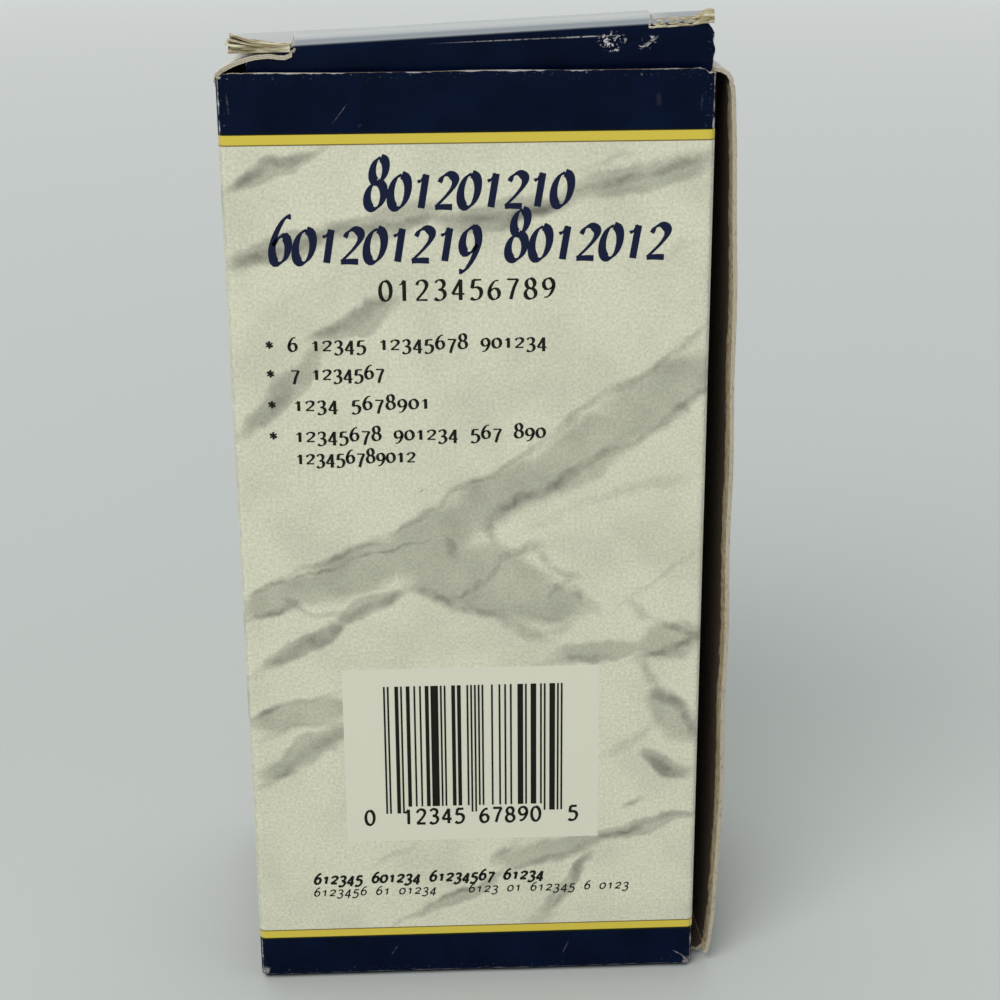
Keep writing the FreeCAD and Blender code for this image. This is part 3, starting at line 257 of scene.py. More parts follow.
def border_distance(grid, folds=None, blank=None):
    """Distance of each grid point from the nearest border, along its row or column, or from a fold line."""
    found = np.full(grid.shape[:2], 1e6)
    for axis in (0, 1):
        steps = np.linalg.norm(np.diff(grid, axis=axis), axis=2)
        run = np.concatenate((np.zeros_like(np.take(steps, [0], axis)), np.cumsum(steps, axis)), axis)
        found = np.minimum(found, np.minimum(run, np.take(run, [-1], axis) - run))
    for fold in folds or ():
        found = np.minimum(found, abs(blank[..., 0] - fold))
    return found


def board(name, grid, blank, folds=None, skins=None, thick=board_thick):
    """A carton board on one grid, with its wear distance."""
    skins = skins or (printed_board, grey_board, cut_board)
    grid = np.asarray(grid, float)
    return closed_sheet([grid], thick, skins, name, [border_distance(grid, folds, blank)], [blank])


def mesh_grid(*parts):
    """Coordinates of one grid from parts that broadcast together."""
    return np.stack(np.broadcast_arrays(*parts), -1).astype(float)


def close_ends(length, middle=8.0):
    """Places from 0 to length: fine steps beside both ends, where folds and wear are, coarse ones between."""
    fine = np.array((0, 0.15, 0.4, 0.8, 1.5, 3.0, 5.5))
    inner = np.linspace(fine[-1], length - fine[-1],
                        max(2, int(round((length - 2 * fine[-1]) / middle)) + 1))
    return np.concatenate((fine[:-1], inner, length - fine[-2::-1]))


def smooth_step(value, low, high):
    """0 below low, 1 above high, and between them 3 t ** 2 - 2 t ** 3 of the share t."""
    share = np.clip((value - low) / (high - low), 0, 1)
    return share * share * (3 - 2 * share)


def through(points, count):
    """Smooth line through the points: Catmull-Rom, 16 steps in each span, evenly spaced again by length."""
    points = np.asarray(points, float)
    ends = np.concatenate(([2 * points[0] - points[1]], points, [2 * points[-1] - points[-2]]))
    t = np.linspace(0, 1, 17)[:-1, None, None]
    a, b, c, e = ends[:-3], ends[1:-2], ends[2:-1], ends[3:]
    line = 0.5 * (2 * b + (c - a) * t + (2 * a - 5 * b + 4 * c - e) * t ** 2
                  + (3 * b - a - 3 * c + e) * t ** 3)
    line = np.concatenate((line.transpose(1, 0, 2).reshape(-1, points.shape[1]), points[-1:]))
    run = np.concatenate(([0], np.cumsum(np.linalg.norm(np.diff(line, axis=0), axis=1))))
    even = np.linspace(0, run[-1], count)
    return np.stack([np.interp(even, run, line[:, axis]) for axis in range(points.shape[1])], 1)


# The printed face. Navy bands with a yellow rule inside each, and between them a marble pattern: pale ground,
# the fine mottle of the printing screen, soft grey patches and dark lines along them. Gloss varnish over all.
eased = {"interpolation_type": "SMOOTHSTEP"}
printed_board, tree, shader = finish("offset_printed_board", paper_ink, Roughness=0.42, IOR=1.15)
place = node(tree, "UVMap", uv_map="blank")
spread = node(tree, "SeparateXYZ", place).node
blank_x, blank_z = spread.outputs[0], spread.outputs[1]
around = node(tree, "Math", blank_x, front_width + side_width, 0.0, operation="WRAP")
wander = node(tree, "TexNoise", place, Scale=1 / 9.0, Detail=3.0, out=1)
wander = node(tree, "VectorMath", wander, (5.0, 5.0, 0.0), (-3.3, -3.3, 0.0), operation="MULTIPLY_ADD")
wander = node(tree, "VectorMath", node(tree, "TexNoise", place, Scale=1 / 3.0, Detail=4.0, out=1),
              (1.6, 1.6, 0.0), wander, operation="MULTIPLY_ADD")
stone = node(tree, "VectorMath", node(tree, "CombineXYZ", around, blank_z), wander, operation="ADD")


def streaks(strokes, where, reach):
    """Largest of a set of long soft spots. Each is 1 - sqrt(u ** 2 + v ** 2 + (1 - strength) ** 2), where u
    and v are the distances from its middle in half lengths, stretched by the reach, and in half widths."""
    largest = None
    for start, end, half, *strength in strokes:
        start, end = np.array((start, end), float)
        run = end - start
        sunk = strength[0] - 1.0 if strength else 0.0
        spot = node(tree, "Mapping", where, (*(start + end) / 2, sunk),
                    (0.0, 0.0, np.arctan2(run[1], run[0])), (np.hypot(*run) / 2 * reach, half, 1.0),
                    vector_type="TEXTURE")
        spot = node(tree, "TexGradient", spot, gradient_type="SPHERICAL", out=1)
        largest = spot if largest is None else node(tree, "Math", largest, spot, operation="MAXIMUM")
    return largest


# Grey patches of the marble: both ends on the blank and half the width. The front wall has x from 0 to 79,
# the other walls follow, and the lid lies above 166. Dark lines are the same with their strength.
grey_patches = [((-1, 73), (15, 78), 3.5), ((10, 76), (31, 85), 5.5), ((24, 80), (41, 91), 7.5),
                ((36, 88), (54, 99), 6.5), ((48, 94), (68, 107), 6.5), ((61, 104), (81, 116), 6.5),
                ((27, 79), (48, 80), 7.0), ((34, 79), (54, 74), 7.5), ((44, 74), (60, 72), 5.0),
                ((3, 62), (17, 71), 2.4), ((15, 71), (27, 76), 2.8), ((54, 63), (70, 65), 3.0),
                ((68, 64), (80, 68), 4.5), ((71, 56), (79, 47), 4.5), ((69, 46), (78, 39), 2.6),
                ((-1, 51), (18, 55), 3.8), ((1, 41), (18, 51), 2.8), ((29, 12), (44, 21), 1.8),
                ((43, 23), (62, 27), 3.0), ((60, 27), (80, 32), 2.0), ((51, 12), (61, 25), 1.8),
                ((0, 145), (15, 152), 2.2), ((0, 133), (17, 138), 3.0), ((14, 138), (36, 142), 3.0),
                ((33, 140), (57, 143), 3.2), ((54, 144), (80, 149), 3.6), ((12, 120), (28, 127), 2.6),
                ((0, 104), (16, 120), 3.0), ((96, 30), (142, 58), 6.0), ((92, 84), (141, 70), 4.0),
                ((84, 118), (142, 146), 7.0), ((86, 92), (118, 107), 2.6), ((80, 13), (120, 30), 2.6),
                ((6, 186), (70, 208), 5.0)]
dark_lines = [((0, 75), (10, 80), 1.0, 0.55), ((8, 79), (20, 84), 1.0, 0.5),
              ((19, 83), (34, 92), 1.0, 0.45), ((32, 91), (44, 98), 1.0, 0.5),
              ((43, 97), (54, 105), 1.0, 0.5), ((53, 104), (63, 111), 1.2, 0.6),
              ((61, 110), (69, 114), 1.2, 0.55), ((68, 113), (80, 123), 1.2, 0.6),
              ((80, 111), (72, 106), 1.2, 0.5), ((73, 106), (65, 101), 1.2, 0.55),
              ((67, 102), (57, 98), 1.2, 0.5), ((58, 99), (51, 93), 1.4, 0.6),
              ((52, 94), (42, 89), 1.4, 0.6), ((0, 71), (8, 74), 1.0, 0.6), ((7, 75), (12, 72), 1.0, 0.5),
              ((10, 72), (17, 73), 1.0, 0.4), ((0, 60), (10, 66), 1.8, 0.4),
              ((8, 65), (18, 72), 2.4, 0.5), ((16, 71), (23, 74), 1.6, 0.4),
              ((22, 73), (28, 77), 1.4, 0.45), ((27, 77), (34, 75), 1.2, 0.5),
              ((32, 76), (37, 73), 1.4, 0.6), ((36, 74), (45, 70), 1.2, 0.55),
              ((44, 71), (52, 66), 1.6, 0.65), ((49, 66), (60, 70), 1.4, 0.3),
              ((44, 81), (52, 84), 1.6, 0.65), ((51, 84), (53, 79), 1.4, 0.5),
              ((52, 80), (58, 78), 1.4, 0.5), ((57, 79), (53, 74), 1.2, 0.5),
              ((56, 77), (62, 71), 1.4, 0.45), ((35, 76), (42, 78), 0.9, 0.4),
              ((41, 77), (46, 82), 1.0, 0.4), ((42, 89), (43, 84), 1.6, 0.55),
              ((35, 86), (37, 82), 1.6, 0.45), ((7, 78), (18, 81), 0.5, 0.5),
              ((16, 81), (34, 86), 0.5, 0.4), ((66, 74), (71, 69), 1.4, 0.45),
              ((70, 70), (80, 66), 1.2, 0.6), ((68, 62), (80, 67), 1.1, 0.6),
              ((63, 71), (80, 84), 1.1, 0.3), ((50, 61), (63, 63), 1.4, 0.35),
              ((69, 63), (72, 56), 1.8, 0.5), ((71, 57), (77, 52), 2.2, 0.6),
              ((76, 53), (80, 46), 1.6, 0.5), ((61, 43), (73, 51), 1.2, 0.35),
              ((70, 44), (77, 39), 2.0, 0.5), ((66, 33.5), (69, 35.5), 1.0, 0.8),
              ((48, 86), (58, 91), 1.8, 0.25), ((56, 91), (79, 96), 1.9, 0.3),
              ((-1, 52), (6, 55), 1.0, 0.5), ((5, 55), (18, 58), 1.0, 0.35),
              ((-1, 48), (18, 52), 1.1, 0.38), ((0, 38), (6, 43), 1.2, 0.5),
              ((4, 42), (18, 51), 1.4, 0.4), ((24, 10), (32, 15), 1.0, 0.6),
              ((30, 14), (41, 20), 1.0, 0.5), ((38, 19), (62, 27), 1.2, 0.35),
              ((60, 26), (70, 30), 1.0, 0.55), ((68, 30), (80, 32), 1.0, 0.4),
              ((43, 23), (47, 27), 1.2, 0.5), ((48, 10), (55, 13), 1.6, 0.35),
              ((53, 12), (61, 26), 1.4, 0.4), ((19, 22), (30, 28), 1.2, 0.3),
              ((0, 145), (8, 149), 1.2, 0.5), ((6, 148), (18, 154), 1.2, 0.4),
              ((0, 132), (8, 135), 1.6, 0.6), ((6, 134), (19, 139), 1.2, 0.4),
              ((18, 139), (38, 141), 1.3, 0.45), ((36, 141), (48, 141), 1.4, 0.4),
              ((45, 140), (57, 143), 2.0, 0.7), ((55, 144), (80, 150), 1.3, 0.42),
              ((55, 147), (68, 151), 1.0, 0.35), ((12, 120), (28, 128), 1.6, 0.4),
              ((0, 103), (14, 119), 2.2, 0.28), ((69, 133), (79, 137), 2.0, 0.2),
              ((94, 33), (120, 50), 1.2, 0.45), ((118, 48), (142, 62), 1.2, 0.45),
              ((92, 80), (116, 72), 1.1, 0.4), ((84, 121), (112, 134), 1.3, 0.5),
              ((110, 132), (140, 150), 1.3, 0.45), ((86, 92), (106, 102), 1.1, 0.4),
              ((80, 14), (102, 24), 1.1, 0.4), ((8, 190), (40, 203), 1.3, 0.4),
              ((30.4, 94.1), (31.6, 94.7), 0.35, 0.95)]
patch_cloud = node(tree, "TexNoise", stone, Scale=1 / 7.0, Detail=4.0)
patch_cloud = node(tree, "MapRange", patch_cloud, 0.3, 0.7, 0.32, 0.52)
grey = node(tree, "MapRange", streaks(grey_patches, stone, 1.3), 0.1, 0.45, **eased)
grey = node(tree, "Math", grey, patch_cloud, operation="MULTIPLY")
fray = mottle(tree, stone, 2.5, 0.3, 0.6, 0.3, 0.8, curve="LINEAR", Detail=4.0)
grey = node(tree, "Math", streaks(dark_lines, stone, 1.5), fray, grey, operation="MULTIPLY_ADD")
haze = mottle(tree, place, 15.0, 0.4, 0.7, 0.0, 0.16, Detail=4.0)
marble = node(tree, "MixRGB", node(tree, "Math", grey, haze, operation="ADD"), paper_ink, "#7B796E")
blush = mottle(tree, place, 21.0, 0.55, 0.75, 0.0, 0.13, curve="LINEAR", Detail=3.0)
marble = node(tree, "MixRGB", blush, marble, "#C3A390")
screen = mottle(tree, place, 0.5, 0.3, 0.72, 0.87, 1.13, curve="LINEAR", Detail=3.0)
marble = node(tree, "HueSaturation", Color=marble, Value=screen)
# The lid's marble is mixed most of the way to grey-blue: partly a bluer print, partly painted shade.
lid_tint_and_shade = node(tree, "MapRange", blank_z, 166.0, 172.0, 0.0, 0.88, **eased)
marble = node(tree, "MixRGB", lid_tint_and_shade, marble, "#A3A7A9")
# Painted shade: the lid's right corner, past the slit, is made a darker grey-blue.
corner_painted_shade = node(tree, "MapRange", blank_x, -128.0, -132.0)
marble = node(tree, "MixRGB", node(tree, "Math", lid_tint_and_shade, corner_painted_shade, operation="MULTIPLY"), marble,
              "#868B8E")


def rows_between(low, high, blur=0.06):
    """1 between two heights on the blank and 0 outside, with blurred limits."""
    above = node(tree, "MapRange", blank_z, low - blur, low + blur)
    below = node(tree, "MapRange", blank_z, high + blur, high - blur)
    return node(tree, "Math", above, below, operation="MULTIPLY")


navy = mottle(tree, place, 9.0, 0.35, 0.7, Detail=3.0)
ink = node(tree, "MixRGB", navy, navy_ink, "#03102A")
# A grey-blue band along the crease's roll, where the board turns over into the tuck flap, is painted shade
# and sheen.
roll_shade_band = lid_print_to - 0.75, lid_print_to + 0.05
for low, high, blur, tint in (
        (band_marks["low_line"], band_marks["top_line"], 0.06, yellow_ink),
        (band_marks["low_marble"], band_marks["top_marble"], 0.06, marble),
        (lid_print_from, lid_print_to, 0.06, marble), (*roll_shade_band, 0.2, "#8B9195"),
        (band_marks["top_marble"] - 0.1, band_marks["top_marble"] + 0.1, 0.06, "#6E5F33"),
        (band_marks["top_line"] - 0.13, band_marks["top_line"] + 0.13, 0.06, "#12160E"),
        (band_marks["low_marble"] - 0.1, band_marks["low_marble"] + 0.1, 0.06, "#6E5F33"),
        (band_marks["low_line"] - 0.16, band_marks["low_line"] + 0.16, 0.06, "#20260F")):
    ink = node(tree, "MixRGB", rows_between(low, high, blur), ink, tint)

# Wear and painted glints. White plies show in a hair line where varnish and ink have rubbed off folds and cut
# edges, in flecks near them and along scratches. Pale flecks in the crumple on the tuck flap and along its
# crease are painted glints of the varnish. Scratches and crumpled patches have both ends on the blank, half
# the width and the strength.
scratches_and_glints = [((17.4, 155.4), (21.2, 160.2), 0.1, 0.3), ((1.6, 154.8), (1.0, 163.4), 0.6, 0.08),
             ((21.3, 154.8), (23.0, 156.4), 0.7, 0.05), ((70.5, 154.8), (69.9, 163.4), 2.6, 0.03),
             ((77.0, 154.6), (77.3, 162.6), 0.8, 0.05), ((55.0, 3.0), (56.8, 7.0), 0.2, 0.2),
             ((23.0, 3.4), (25.4, 7.2), 0.3, 0.14), ((75.9, 3.7), (77.8, 2.6), 0.14, 0.6),
             ((77.6, 2.7), (78.7, 1.3), 0.22, 0.8), ((77.9, 0.6), (79.3, 2.2), 0.8, 1.0),
             ((-0.4, 1.0), (0.9, 2.4), 0.8, 1.0), ((18.0, 22.0), (21.5, 24.4), 0.1, 0.2),
             # The last three lie along the tuck flap's crease: a crack with painted glints along it.
             ((-93.8, 223.9), (-120.0, 224.3), 0.12, 0.55),
             ((-112.0, 224.2), (-123.5, 224.35), 0.15, 0.9), ((-127.1, 226.6), (-129.6, 224.9), 0.3, 1.0)]
crumpled_glint_patches = [((-120.2, 225.0), (-124.8, 225.7), 2.0, 1.0), ((-126.6, 226.4), (-129.4, 225.2), 1.3, 1.0)]
edge_mark = node(tree, "Attribute", attribute_name="edge", out=2)
nibbled = mottle(tree, place, 2.2, 0.3, 0.7, -0.12, 0.22, curve="LINEAR", Detail=4.0)
wear_and_glints = node(tree, "Math", edge_mark, nibbled, operation="ADD")
wear_and_glints = node(tree, "MapRange", wear_and_glints, 0.03, 0.17, 0.75, 0.0, **eased)
wear_and_glints = node(tree, "Math", wear_and_glints, node(tree, "MapRange", blank_z, 1.5, 4.0, 0.25, 1.0), operation="MULTIPLY")
specks = mottle(tree, place, 0.55, 0.62, 0.74, 0.0, 0.22, Detail=3.0)
near_edge = node(tree, "MapRange", edge_mark, 0.2, 1.9, 1.0, 0.0, **eased)
grit = mottle(tree, place, 0.5, 0.3, 0.6)
glint_flecks = node(tree, "TexNoise", place, Scale=1 / 0.9, Detail=3.0, Distortion=1.0)
glint_flecks = node(tree, "MapRange", glint_flecks, 0.53, 0.6, **eased)
# Painted glints: pale flecks in the crumpled patches of the tuck flap stand for light glinting off the
# varnish.
crumple = node(tree, "MapRange", streaks(crumpled_glint_patches, place, 1.3), 0.1, 0.4, **eased)
for spots, share in ((specks, near_edge), (grit, streaks(scratches_and_glints, place, 1.2)), (glint_flecks, crumple)):
    spots = node(tree, "Math", spots, share, operation="MULTIPLY")
    wear_and_glints = node(tree, "Math", wear_and_glints, spots, operation="MAXIMUM")
tree.links.new(node(tree, "MixRGB", wear_and_glints, ink, "#C4BFC0"), shader.inputs["Base Color"])
varnish = mottle(tree, place, 12.0, 0.3, 0.7, 0.26, 0.36, Detail=3.0)
tree.links.new(node(tree, "Math", wear_and_glints, 0.4, varnish, operation="MULTIPLY_ADD"), shader.inputs["Roughness"])
relief = node(tree, "Math", node(tree, "TexNoise", place, Scale=1 / 14.0), 0.6, operation="MULTIPLY")
relief = node(tree, "Math", node(tree, "TexNoise", place, Scale=1 / 0.5), 0.012, relief,
              operation="MULTIPLY_ADD")
relief = node(tree, "Math", relief, wear_and_glints, operation="SUBTRACT")
tree.links.new(node(tree, "Bump", Strength=0.35, Distance=0.0006, Height=relief), shader.inputs["Normal"])


# The unprinted inside of the board: recycled grey-brown pulp with short dark fibres, quite matt. Its colours
# are darker than the pulp's own, partly as painted shade of the carton's dark inside.
def pulp(tree, shader, place, dark, pale, fibre):
    """Clouds of dark and pale pulp 0.8 mm wide, with fibres 0.5 mm long, and a fine tooth."""
    cloudy = node(tree, "MixRGB", mottle(tree, place, 0.8, 0.3, 0.7, Detail=4.0), dark, pale)
    fibres = mottle(tree, place, 0.5, 0.66, 0.74, 0.0, 0.5)
    tree.links.new(node(tree, "MixRGB", fibres, cloudy, fibre), shader.inputs["Base Color"])
    tooth = node(tree, "TexNoise", place, Scale=1 / 0.4, Detail=3.0)
    tree.links.new(node(tree, "Bump", Strength=0.3, Distance=0.0001, Height=tooth), shader.inputs["Normal"])


grey_board, tree, shader = finish("recycled_pulp_board", "#6B5C4C", Roughness=0.92)
pulp(tree, shader, node(tree, "UVMap", uv_map="blank"), "#4D3F33", "#655645", "#3B2E26")

# The cut edge of the board: pale outer plies over a greyer core, with torn fibres.
cut_board, tree, shader = finish("cut_board_edge", "#B8AE98", Roughness=0.95)
place = in_mm(tree)
ply = node(tree, "Attribute", out=2, attribute_name="ply")
ply = node(tree, "Math", ply, mottle(tree, place, 1.2, 0.3, 0.7, -0.12, 0.12), operation="ADD")
layers = node(tree, "Math", node(tree, "Math", ply, 18.0, operation="MULTIPLY"), operation="SINE")
layers = node(tree, "MapRange", layers, -1.0, 1.0, **eased)
edge_colour = node(tree, "MixRGB", layers, "#A59A85", "#C6BDA9")
dirt = mottle(tree, place, 0.9, 0.5, 0.75, 0.0, 0.6, Detail=4.0)
tree.links.new(node(tree, "MixRGB", dirt, edge_colour, "#8B7D66"), shader.inputs["Base Color"])
tooth = node(tree, "TexNoise", place, Scale=1 / 0.4, Detail=3.0)
tooth = node(tree, "Math", layers, tooth, operation="ADD")
tree.links.new(node(tree, "Bump", Strength=0.6, Distance=0.0001, Height=tooth), shader.inputs["Normal"])

# Board torn open where glue has let go: tan fibres, with a ragged limit towards the whole board further in.
seam_edge = -front_width - side_width - 58.5
torn_reach = 9.0
torn_board, tree, shader = finish("torn_tan_fibres", "#A8946F", Roughness=1.0)
place = in_mm(tree)
fibres = node(tree, "TexNoise", place, Scale=1 / 1.6, Detail=5.0, Distortion=1.2)
torn = node(tree, "MixRGB", node(tree, "MapRange", fibres, 0.3, 0.7, **eased), "#9A8762", "#C8B998")
inward = node(tree, "SeparateXYZ", node(tree, "UVMap", uv_map="blank"))
ragged = mottle(tree, place, 3.0, 0.3, 0.7, 2.5, 4.3, curve="LINEAR", Detail=4.0)
whole = node(tree, "Math", inward, ragged, operation="SUBTRACT")
whole = node(tree, "MapRange", whole, seam_edge - 0.2, seam_edge + 0.2)
whole = node(tree, "Math", whole, node(tree, "Math", inward, 0.0, operation="LESS_THAN"),
             operation="MULTIPLY")
tree.links.new(node(tree, "MixRGB", whole, torn, "#594A3C"), shader.inputs["Base Color"])
tree.links.new(node(tree, "Bump", Strength=0.8, Distance=0.0002, Height=fibres), shader.inputs["Normal"])


def crush(x, y):
    """How far the top has been pressed down at a place, in millimetres: most at the back left corner."""
    depth = np.interp(x, (-39.5, -29.0, -19.0, -10.5, 1.0), (1.8, 1.35, 1.05, 0.75, 0.0))
    return depth * np.clip((y + 28.4) / 58.0, 0, 1)


# Carton walls. Front, left and back walls and the glue tab are one board, folded round three corners. The
# blank's x is 0 at the fold between the left and front walls. The tab's face is torn where the glue let go.
wall_low = 1.0
side_wall_low = 2.0
wall_tops = {"tab": 156.0, "front": 164.0, "left": 162.7, "back": 163.7}
fold_radius = 0.85
tab_width = 10.5


def folded_walls():
    """Path of the board's middle, back right corner to glue tab: straight runs, quarter circles at folds."""
    turns = np.linspace(0, np.pi / 2, 7)
    runs = [(np.array((wall_x, wall_y)), np.array((-1, 0)), front_width - board_thick),
            (np.array((-wall_x, wall_y)), np.array((0, -1)), side_width - board_thick),
            (np.array((-wall_x, -wall_y)), np.array((1, 0)), front_width - board_thick),
            (np.array((wall_x, -wall_y)), np.array((0, 1)), tab_width - board_thick / 2)]
    points, lengths = [], []
    for number, (corner, way, length) in enumerate(runs):
        last = number == len(runs) - 1
        steps = close_ends(length - fold_radius * (1 if last else 2))
        points.append(corner + way * (steps[:, None] + fold_radius))
        lengths.append(np.full(len(steps), number))
        if not last:
            turned = runs[number + 1][1]
            centre = runs[number + 1][0] - way * fold_radius + turned * fold_radius
            arc = turns[1:-1, None]
            points.append(centre + fold_radius * (np.sin(arc) * way - np.cos(arc) * turned))
            lengths.append(np.full(len(arc), number + 0.5))
    return np.concatenate(points), np.concatenate(lengths)


path, panel = folded_walls()
run = np.concatenate(([0], np.cumsum(np.linalg.norm(np.diff(path, axis=0), axis=1))))
fold_runs = [run[panel == number].mean() for number in (0.5, 1.5, 2.5)]
blank_s = np.interp(run, [0, *fold_runs, run[-1]],
                    [-front_width - side_width, -side_width, 0, front_width, front_width + tab_width])
tops = np.interp(panel, (0, 0.45, 0.55, 1, 1.45, 1.55, 2, 2.5, 3),
                 (wall_tops["back"], wall_tops["back"], wall_tops["left"], wall_tops["left"],
                  wall_tops["left"], wall_tops["front"], wall_tops["front"], wall_tops["front"] - 0.7,
                  wall_tops["tab"]))
lows = np.interp(panel, (0, 0.5, 1, 1.5, 2, 2.5, 3),
                 (wall_low, wall_low, side_wall_low, wall_low, wall_low, wall_low + 0.6, 8.0))
taper = np.where(panel == 3, np.clip((run - fold_runs[2]) / tab_width, 0, 1) * 4.0, 0)
rounded = 1.1 * smooth_step(run, fold_runs[2] - 2.2, fold_runs[2]) ** 2
tops = np.where(panel == 2, tops - rounded, tops) - taper
lows = lows + taper
heights = close_ends(wall_tops["front"] - wall_low) / (wall_tops["front"] - wall_low)
chatter = np.sin(run * 1.7) * 0.05 + np.sin(run * 0.43 + 1) * 0.07
tall = (lows[:, None] + chatter[:, None] * (1 - heights)
        + (tops - lows)[:, None] * heights - 0.12 * (heights == 1) * (1 + np.sin(run * 2.9))[:, None])
pressed = crush(path[:, :1], path[:, 1:]) * smooth_step(tall, 145.0, 162.0)
grid = mesh_grid(path[:, :1], path[:, 1:], tall - pressed)
walls = board("carton_walls", grid, mesh_grid(blank_s[:, None], tall),
              folds=(-side_width, 0.0, front_width))
walls.data.materials.append(torn_board)
tear(walls, lambda centre, slot: (centre[:, 0] > wall_x + 0.2) & (centre[:, 1] > -27.5) & (slot == 0))
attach(walls, "carton")
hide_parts("carton_wall_shell")

# Right side panel. Its glued seam has let go: it hangs on the back fold and bows away from the front wall,
# with a raw front edge and a strip of torn tan fibres down its inner face.
panel_back_x = 40.15
panel_front = -28.5
bulge_heights = (2.0, 5.7, 24.5, 62.0, 116.6, 144.4, 155.5, 161.0)
bulge_widths = (1.9, 2.9, 3.9, 3.95, 3.65, 3.05, 2.4, 1.9)
heights = close_ends(bulge_heights[-1] - side_wall_low, 1.3) + side_wall_low
bulge = np.interp(heights, bulge_heights, bulge_widths)
for smoothing in range(6):
    bulge[1:-1] = (bulge[:-2] + bulge[1:-1] + bulge[2:]) / 3
depth = np.concatenate(((0, 0.2, 0.5, 1.0, 2.0), np.arange(3.0, 9.0, 0.4), np.linspace(10, 55, 10)))
y = panel_front + depth
share = np.clip((wall_y - y) / (wall_y - panel_front), 0, 1)
x = panel_back_x + bulge[None, :] * (share ** 1.15)[:, None]
x = x + 0.12 * np.sin(heights * 0.21)[None, :] * (share ** 6)[:, None]
corner = through(((panel_back_x, 27.4), (panel_back_x - 0.02, 28.6), (39.85, 29.4), (39.1, 29.66),
                  (38.6, wall_y)), 8)
x = np.concatenate((x, np.repeat(corner[1:, :1], len(heights), 1)))
y = np.concatenate((y, corner[1:, 1]))
round_corner = np.where(y > 28, (39.9 - x[:, 0]) * 0.5, 0)
blank_x = -front_width - side_width - (side_half - np.minimum(y, 30)) + round_corner
grid = mesh_grid(x, y[:, None], heights[None, :])
side = board("carton_side_panel", grid, mesh_grid(blank_x[:, None], heights[None, :]))
side.data.materials.append(torn_board)
tear(side, lambda centre, slot: (centre[:, 1] < panel_front + torn_reach) & (slot == 1))
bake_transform(side)
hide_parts("carton_seam_side_panel")

# Top lid. It folds from the back wall's top and lies forward over the carton. It has sprung up, more on
# the right, and its front corners are slit free of the tuck flap. Its print is the marble, mixed to
# grey-blue:
# partly a bluer print, partly painted shade, darker at the right corner.
lid_z = 164.35
lid_half = 38.9
lid_rises = (4.4, 8.25)
lid_fold_y = 29.65
crease_y = -28.4
lid_front = -25.4
slit_ends = (-26.9, 28.9)
corner_reach = {"left": 2.4, "right": 3.0}


def lid_height(x, y):
    """Height of the lid's middle: straight slope from the fold to the crease, slight arch and the crush."""
    share = np.clip((lid_fold_y - y) / (lid_fold_y - crease_y), 0, 1)
    arch = 0.15 * np.sin(np.pi * share) ** 2 * np.cos(x / lid_half)
    return lid_z + np.interp(x, (-lid_half, lid_half), lid_rises) * share + arch - crush(x, y)


slit_steps = np.arange(-1, 1.2, 0.25)
across = np.concatenate((close_ends(lid_half * 2, 4.0), *(lid_half - end + slit_steps for end in slit_ends)))
across = lid_half - np.unique(across)
fold = through(((lid_fold_y, -1.1), (29.66, -0.5), (29.35, -0.1), (28.7, 0.0)), 6)
y = np.concatenate((fold[:, 0], 28.7 - close_ends(28.7 - lid_front, 5.0)[1:]))
drop = np.concatenate((fold[:, 1], np.zeros(len(y) - len(fold))))
far = smooth_step(-y, -lid_front - 8, -lid_front)
in_left = smooth_step(-across, -slit_ends[0], 0.3 - slit_ends[0])
in_right = smooth_step(across, slit_ends[1], slit_ends[1] + 0.3)
reach = corner_reach["left"] * in_left + corner_reach["right"] * in_right
y_grid = y[None, :] - far[None, :] * reach[:, None]
drawn_in = 2.2 * smooth_step(-across, 31.0, lid_half)[:, None] * smooth_step(-y, -12.0, 24.0)[None, :]
x_grid = across[:, None] * np.where(y > 28.6, 0.996, 1.0)[None, :] + drawn_in
tight = 1.3 * np.exp(-((x_grid - slit_ends[0] + 1.0) / 5.0) ** 2) * far[None, :] * in_left[:, None]
tight = tight + 0.95 * (far[None, :] * in_right[:, None]) ** 2
grid = mesh_grid(x_grid, y_grid, lid_height(x_grid, y_grid) + drop[None, :] - tight)
blank = mesh_grid(-front_width / 2 - side_width - x_grid, 164 + 30 - y_grid)
lid = board("carton_top_lid", grid, blank)
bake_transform(lid)
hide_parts("top_lid")

# Top tuck flap. The lid's crease rolls over into this flap, which is pushed part of the way down behind
# the front wall. Its left shoulder is slit free and cut away; its right shoulder stays under the lid's torn
# edge. It is printed navy from just below the crease.
tuck_foot = -26.4
profile = through(((lid_front + 0.1, 0.0), (-26.3, -0.03), (-27.1, -0.17), (-27.75, -0.48), (-28.2, -0.95),
                   (-28.42, -1.6), (-28.46, -2.6), (-28.38, -3.8), (-28.1, -6.0), (-27.3, -11.5),
                   (tuck_foot, -18.0)), 34)
length_down = np.concatenate(([0], np.cumsum(np.linalg.norm(np.diff(profile, axis=0), axis=1))))
below = -profile[:, 1]
left_end = np.interp(below, (0.0, 1.0, 1.6, 2.2, 2.5, 2.8, 3.4, 12.0, 14.5, 16.5, 18.0),
                     (slit_ends[0], slit_ends[0], -27.2, -28.2, -31.0, -33.6, -34.6, -34.9, -33.4, -31.0,
                      -28.0))
right_end = np.interp(below, (0.0, 0.9, 1.3, 1.9, 3.0, 6.0, 12.0, 14.5, 16.5, 18.0),
                      (slit_ends[1], slit_ends[1], 37.4, 38.2, 38.9, 39.2, 38.6, 37.4, 35.0, 31.4))
right_end = right_end + np.interp(below, (1, 2, 6, 8), (0, 1, 1, 0)) * 0.12 * np.sin(below * 2.3)
share = np.concatenate((np.linspace(0, 0.2, 15), np.linspace(0.22, 0.96, 34), (0.98, 1.0)))
x_grid = right_end[None, :] + (left_end - right_end)[None, :] * share[:, None]
